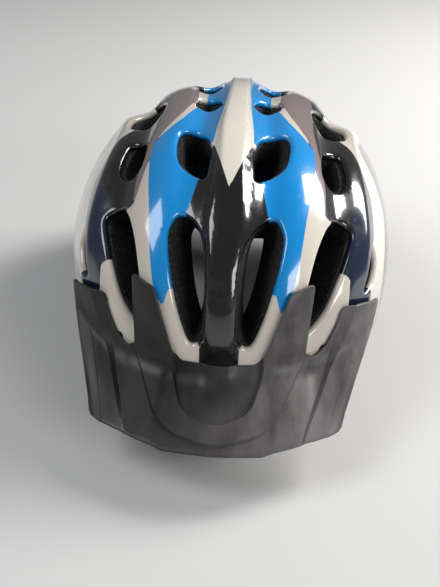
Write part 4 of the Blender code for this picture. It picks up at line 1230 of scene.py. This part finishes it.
# ---- dial knob
def knob(looks):
    """Turned knob with finger grips round its edge, a dished face and a raised boss."""
    angles = 2 * math.pi * np.arange(KNOB_GRIPS * 8) / (KNOB_GRIPS * 8)
    radius, y, grip = np.array(KNOB_PROFILE, float).T[:, :, None]
    size = radius - grip * GRIP_DEPTH * (0.5 - 0.5 * np.cos(KNOB_GRIPS * angles)) ** 2
    points = np.stack([size * np.cos(angles), KNOB_BACK + y + 0 * size,
                       DIAL_Z + size * np.sin(angles)], -1).reshape(-1, 3)
    index = np.arange(len(points)).reshape(size.shape)
    faces = grid_quads(index, (0, 1))
    turned = new_object("knob_grip", points, faces, looks["knob_grey"], sharp=40)
    recalculate(turned)
    stand_in(turned, "dial", "knob_grey", "dial_knob")


# ---- stage
def stage(looks):
    bpy.ops.mesh.primitive_plane_add(size=FLOOR_SIZE, location=(0, 0, 0))
    floor = bpy.context.object
    floor.name = "studio_floor"
    floor.data.materials.append(floor_look())


def lights():
    for name, place, size, energy, colour in LIGHTS:
        light = bpy.data.lights.new(name, "AREA")
        light.shape = "RECTANGLE"
        light.size, light.size_y = size
        light.energy = energy
        light.color = colour
        lamp = linked(name, light)
        lamp.location = place
        way = Vector(LIGHT_TARGET) - Vector(place)
        lamp.rotation_euler = way.to_track_quat("-Z", "Y").to_euler()
    bpy.context.scene.view_settings.view_transform = "Standard"
    world = bpy.data.worlds.new("studio")
    world.use_nodes = True
    background = world.node_tree.nodes["Background"]
    background.inputs["Color"].default_value = SKY_COLOUR
    background.inputs["Strength"].default_value = SKY_STRENGTH
    bpy.context.scene.world = world


def camera():
    azimuth, elevation = math.radians(CAMERA_AZIMUTH), math.radians(CAMERA_ELEVATION)
    back = Vector((math.sin(azimuth) * math.cos(elevation),
                   -math.cos(azimuth) * math.cos(elevation), math.sin(elevation)))
    place = Vector(CAMERA_PIVOT) + back * CAMERA_DISTANCE
    behind = (place - Vector(CAMERA_AIM)).normalized()
    right = Vector((0, 0, 1)).cross(behind).normalized()
    up = behind.cross(right)
    roll = math.radians(CAMERA_ROLL)
    turned_right = right * math.cos(roll) + up * math.sin(roll)
    turned_up = up * math.cos(roll) - right * math.sin(roll)
    data = bpy.data.cameras.new("camera")
    data.lens = CAMERA_LENS
    thing = linked("camera", data)
    turn = Matrix((turned_right, turned_up, behind)).transposed().to_4x4()
    thing.matrix_world = Matrix.Translation(place + Vector(SHIFT)) @ turn
    bpy.context.scene.camera = thing


# ---- assembly
def dress_nodes(looks):
    """Every CAD node takes the procedural material of its slot."""
    for part in frame["record"]["subparts"]:
        node, slot = part["node"], part["material_slot"]
        mesh = frame["nodes"][node].data
        mesh.materials.clear()
        mesh.materials.append(looks[slot])
        mesh.shade_smooth()
        mesh.set_sharp_from_angle(angle=math.radians(35))


def build():
    camera()
    looks = {
        "shell_gloss": shell_look(),
        "foam_bead": foam_look(),
        "visor_matte": visor_look(),
        "black_plastic": moulded_look("black_plastic", (0.016, 0.016, 0.018), 0.45),
        "knob_grey": moulded_look("knob_grey", (0.070, 0.070, 0.078), 0.50),
        "steel_parts": steel_look(),
        "pad_fabric": fabric_look(),
        "hook_tape": hook_look(),
        "webbing_black": webbing_look(),
        "rubber_ring": rubber_look(),
    }
    dress_nodes(looks)
    base = direction_mesh(SPHERE_LEVEL)
    stand_in(shell(looks, base), "helmet", "shell_gloss", "outer_shell")
    stand_in(foam(looks, base), "helmet", "foam_bead", "foam_liner")
    stand_in(visor(looks), "visor_unit", "visor_matte", "visor")
    pads = [cavity_pad(node, ranges, looks["pad_fabric"]) for node, ranges in PADS.items()]
    pads += [nape_pad("nape_pad_" + side, looks["pad_fabric"]) for side in ("left", "right")]
    inflate(pads)
    straps(looks)
    knob(looks)
    stage(looks)
    lights()


build()
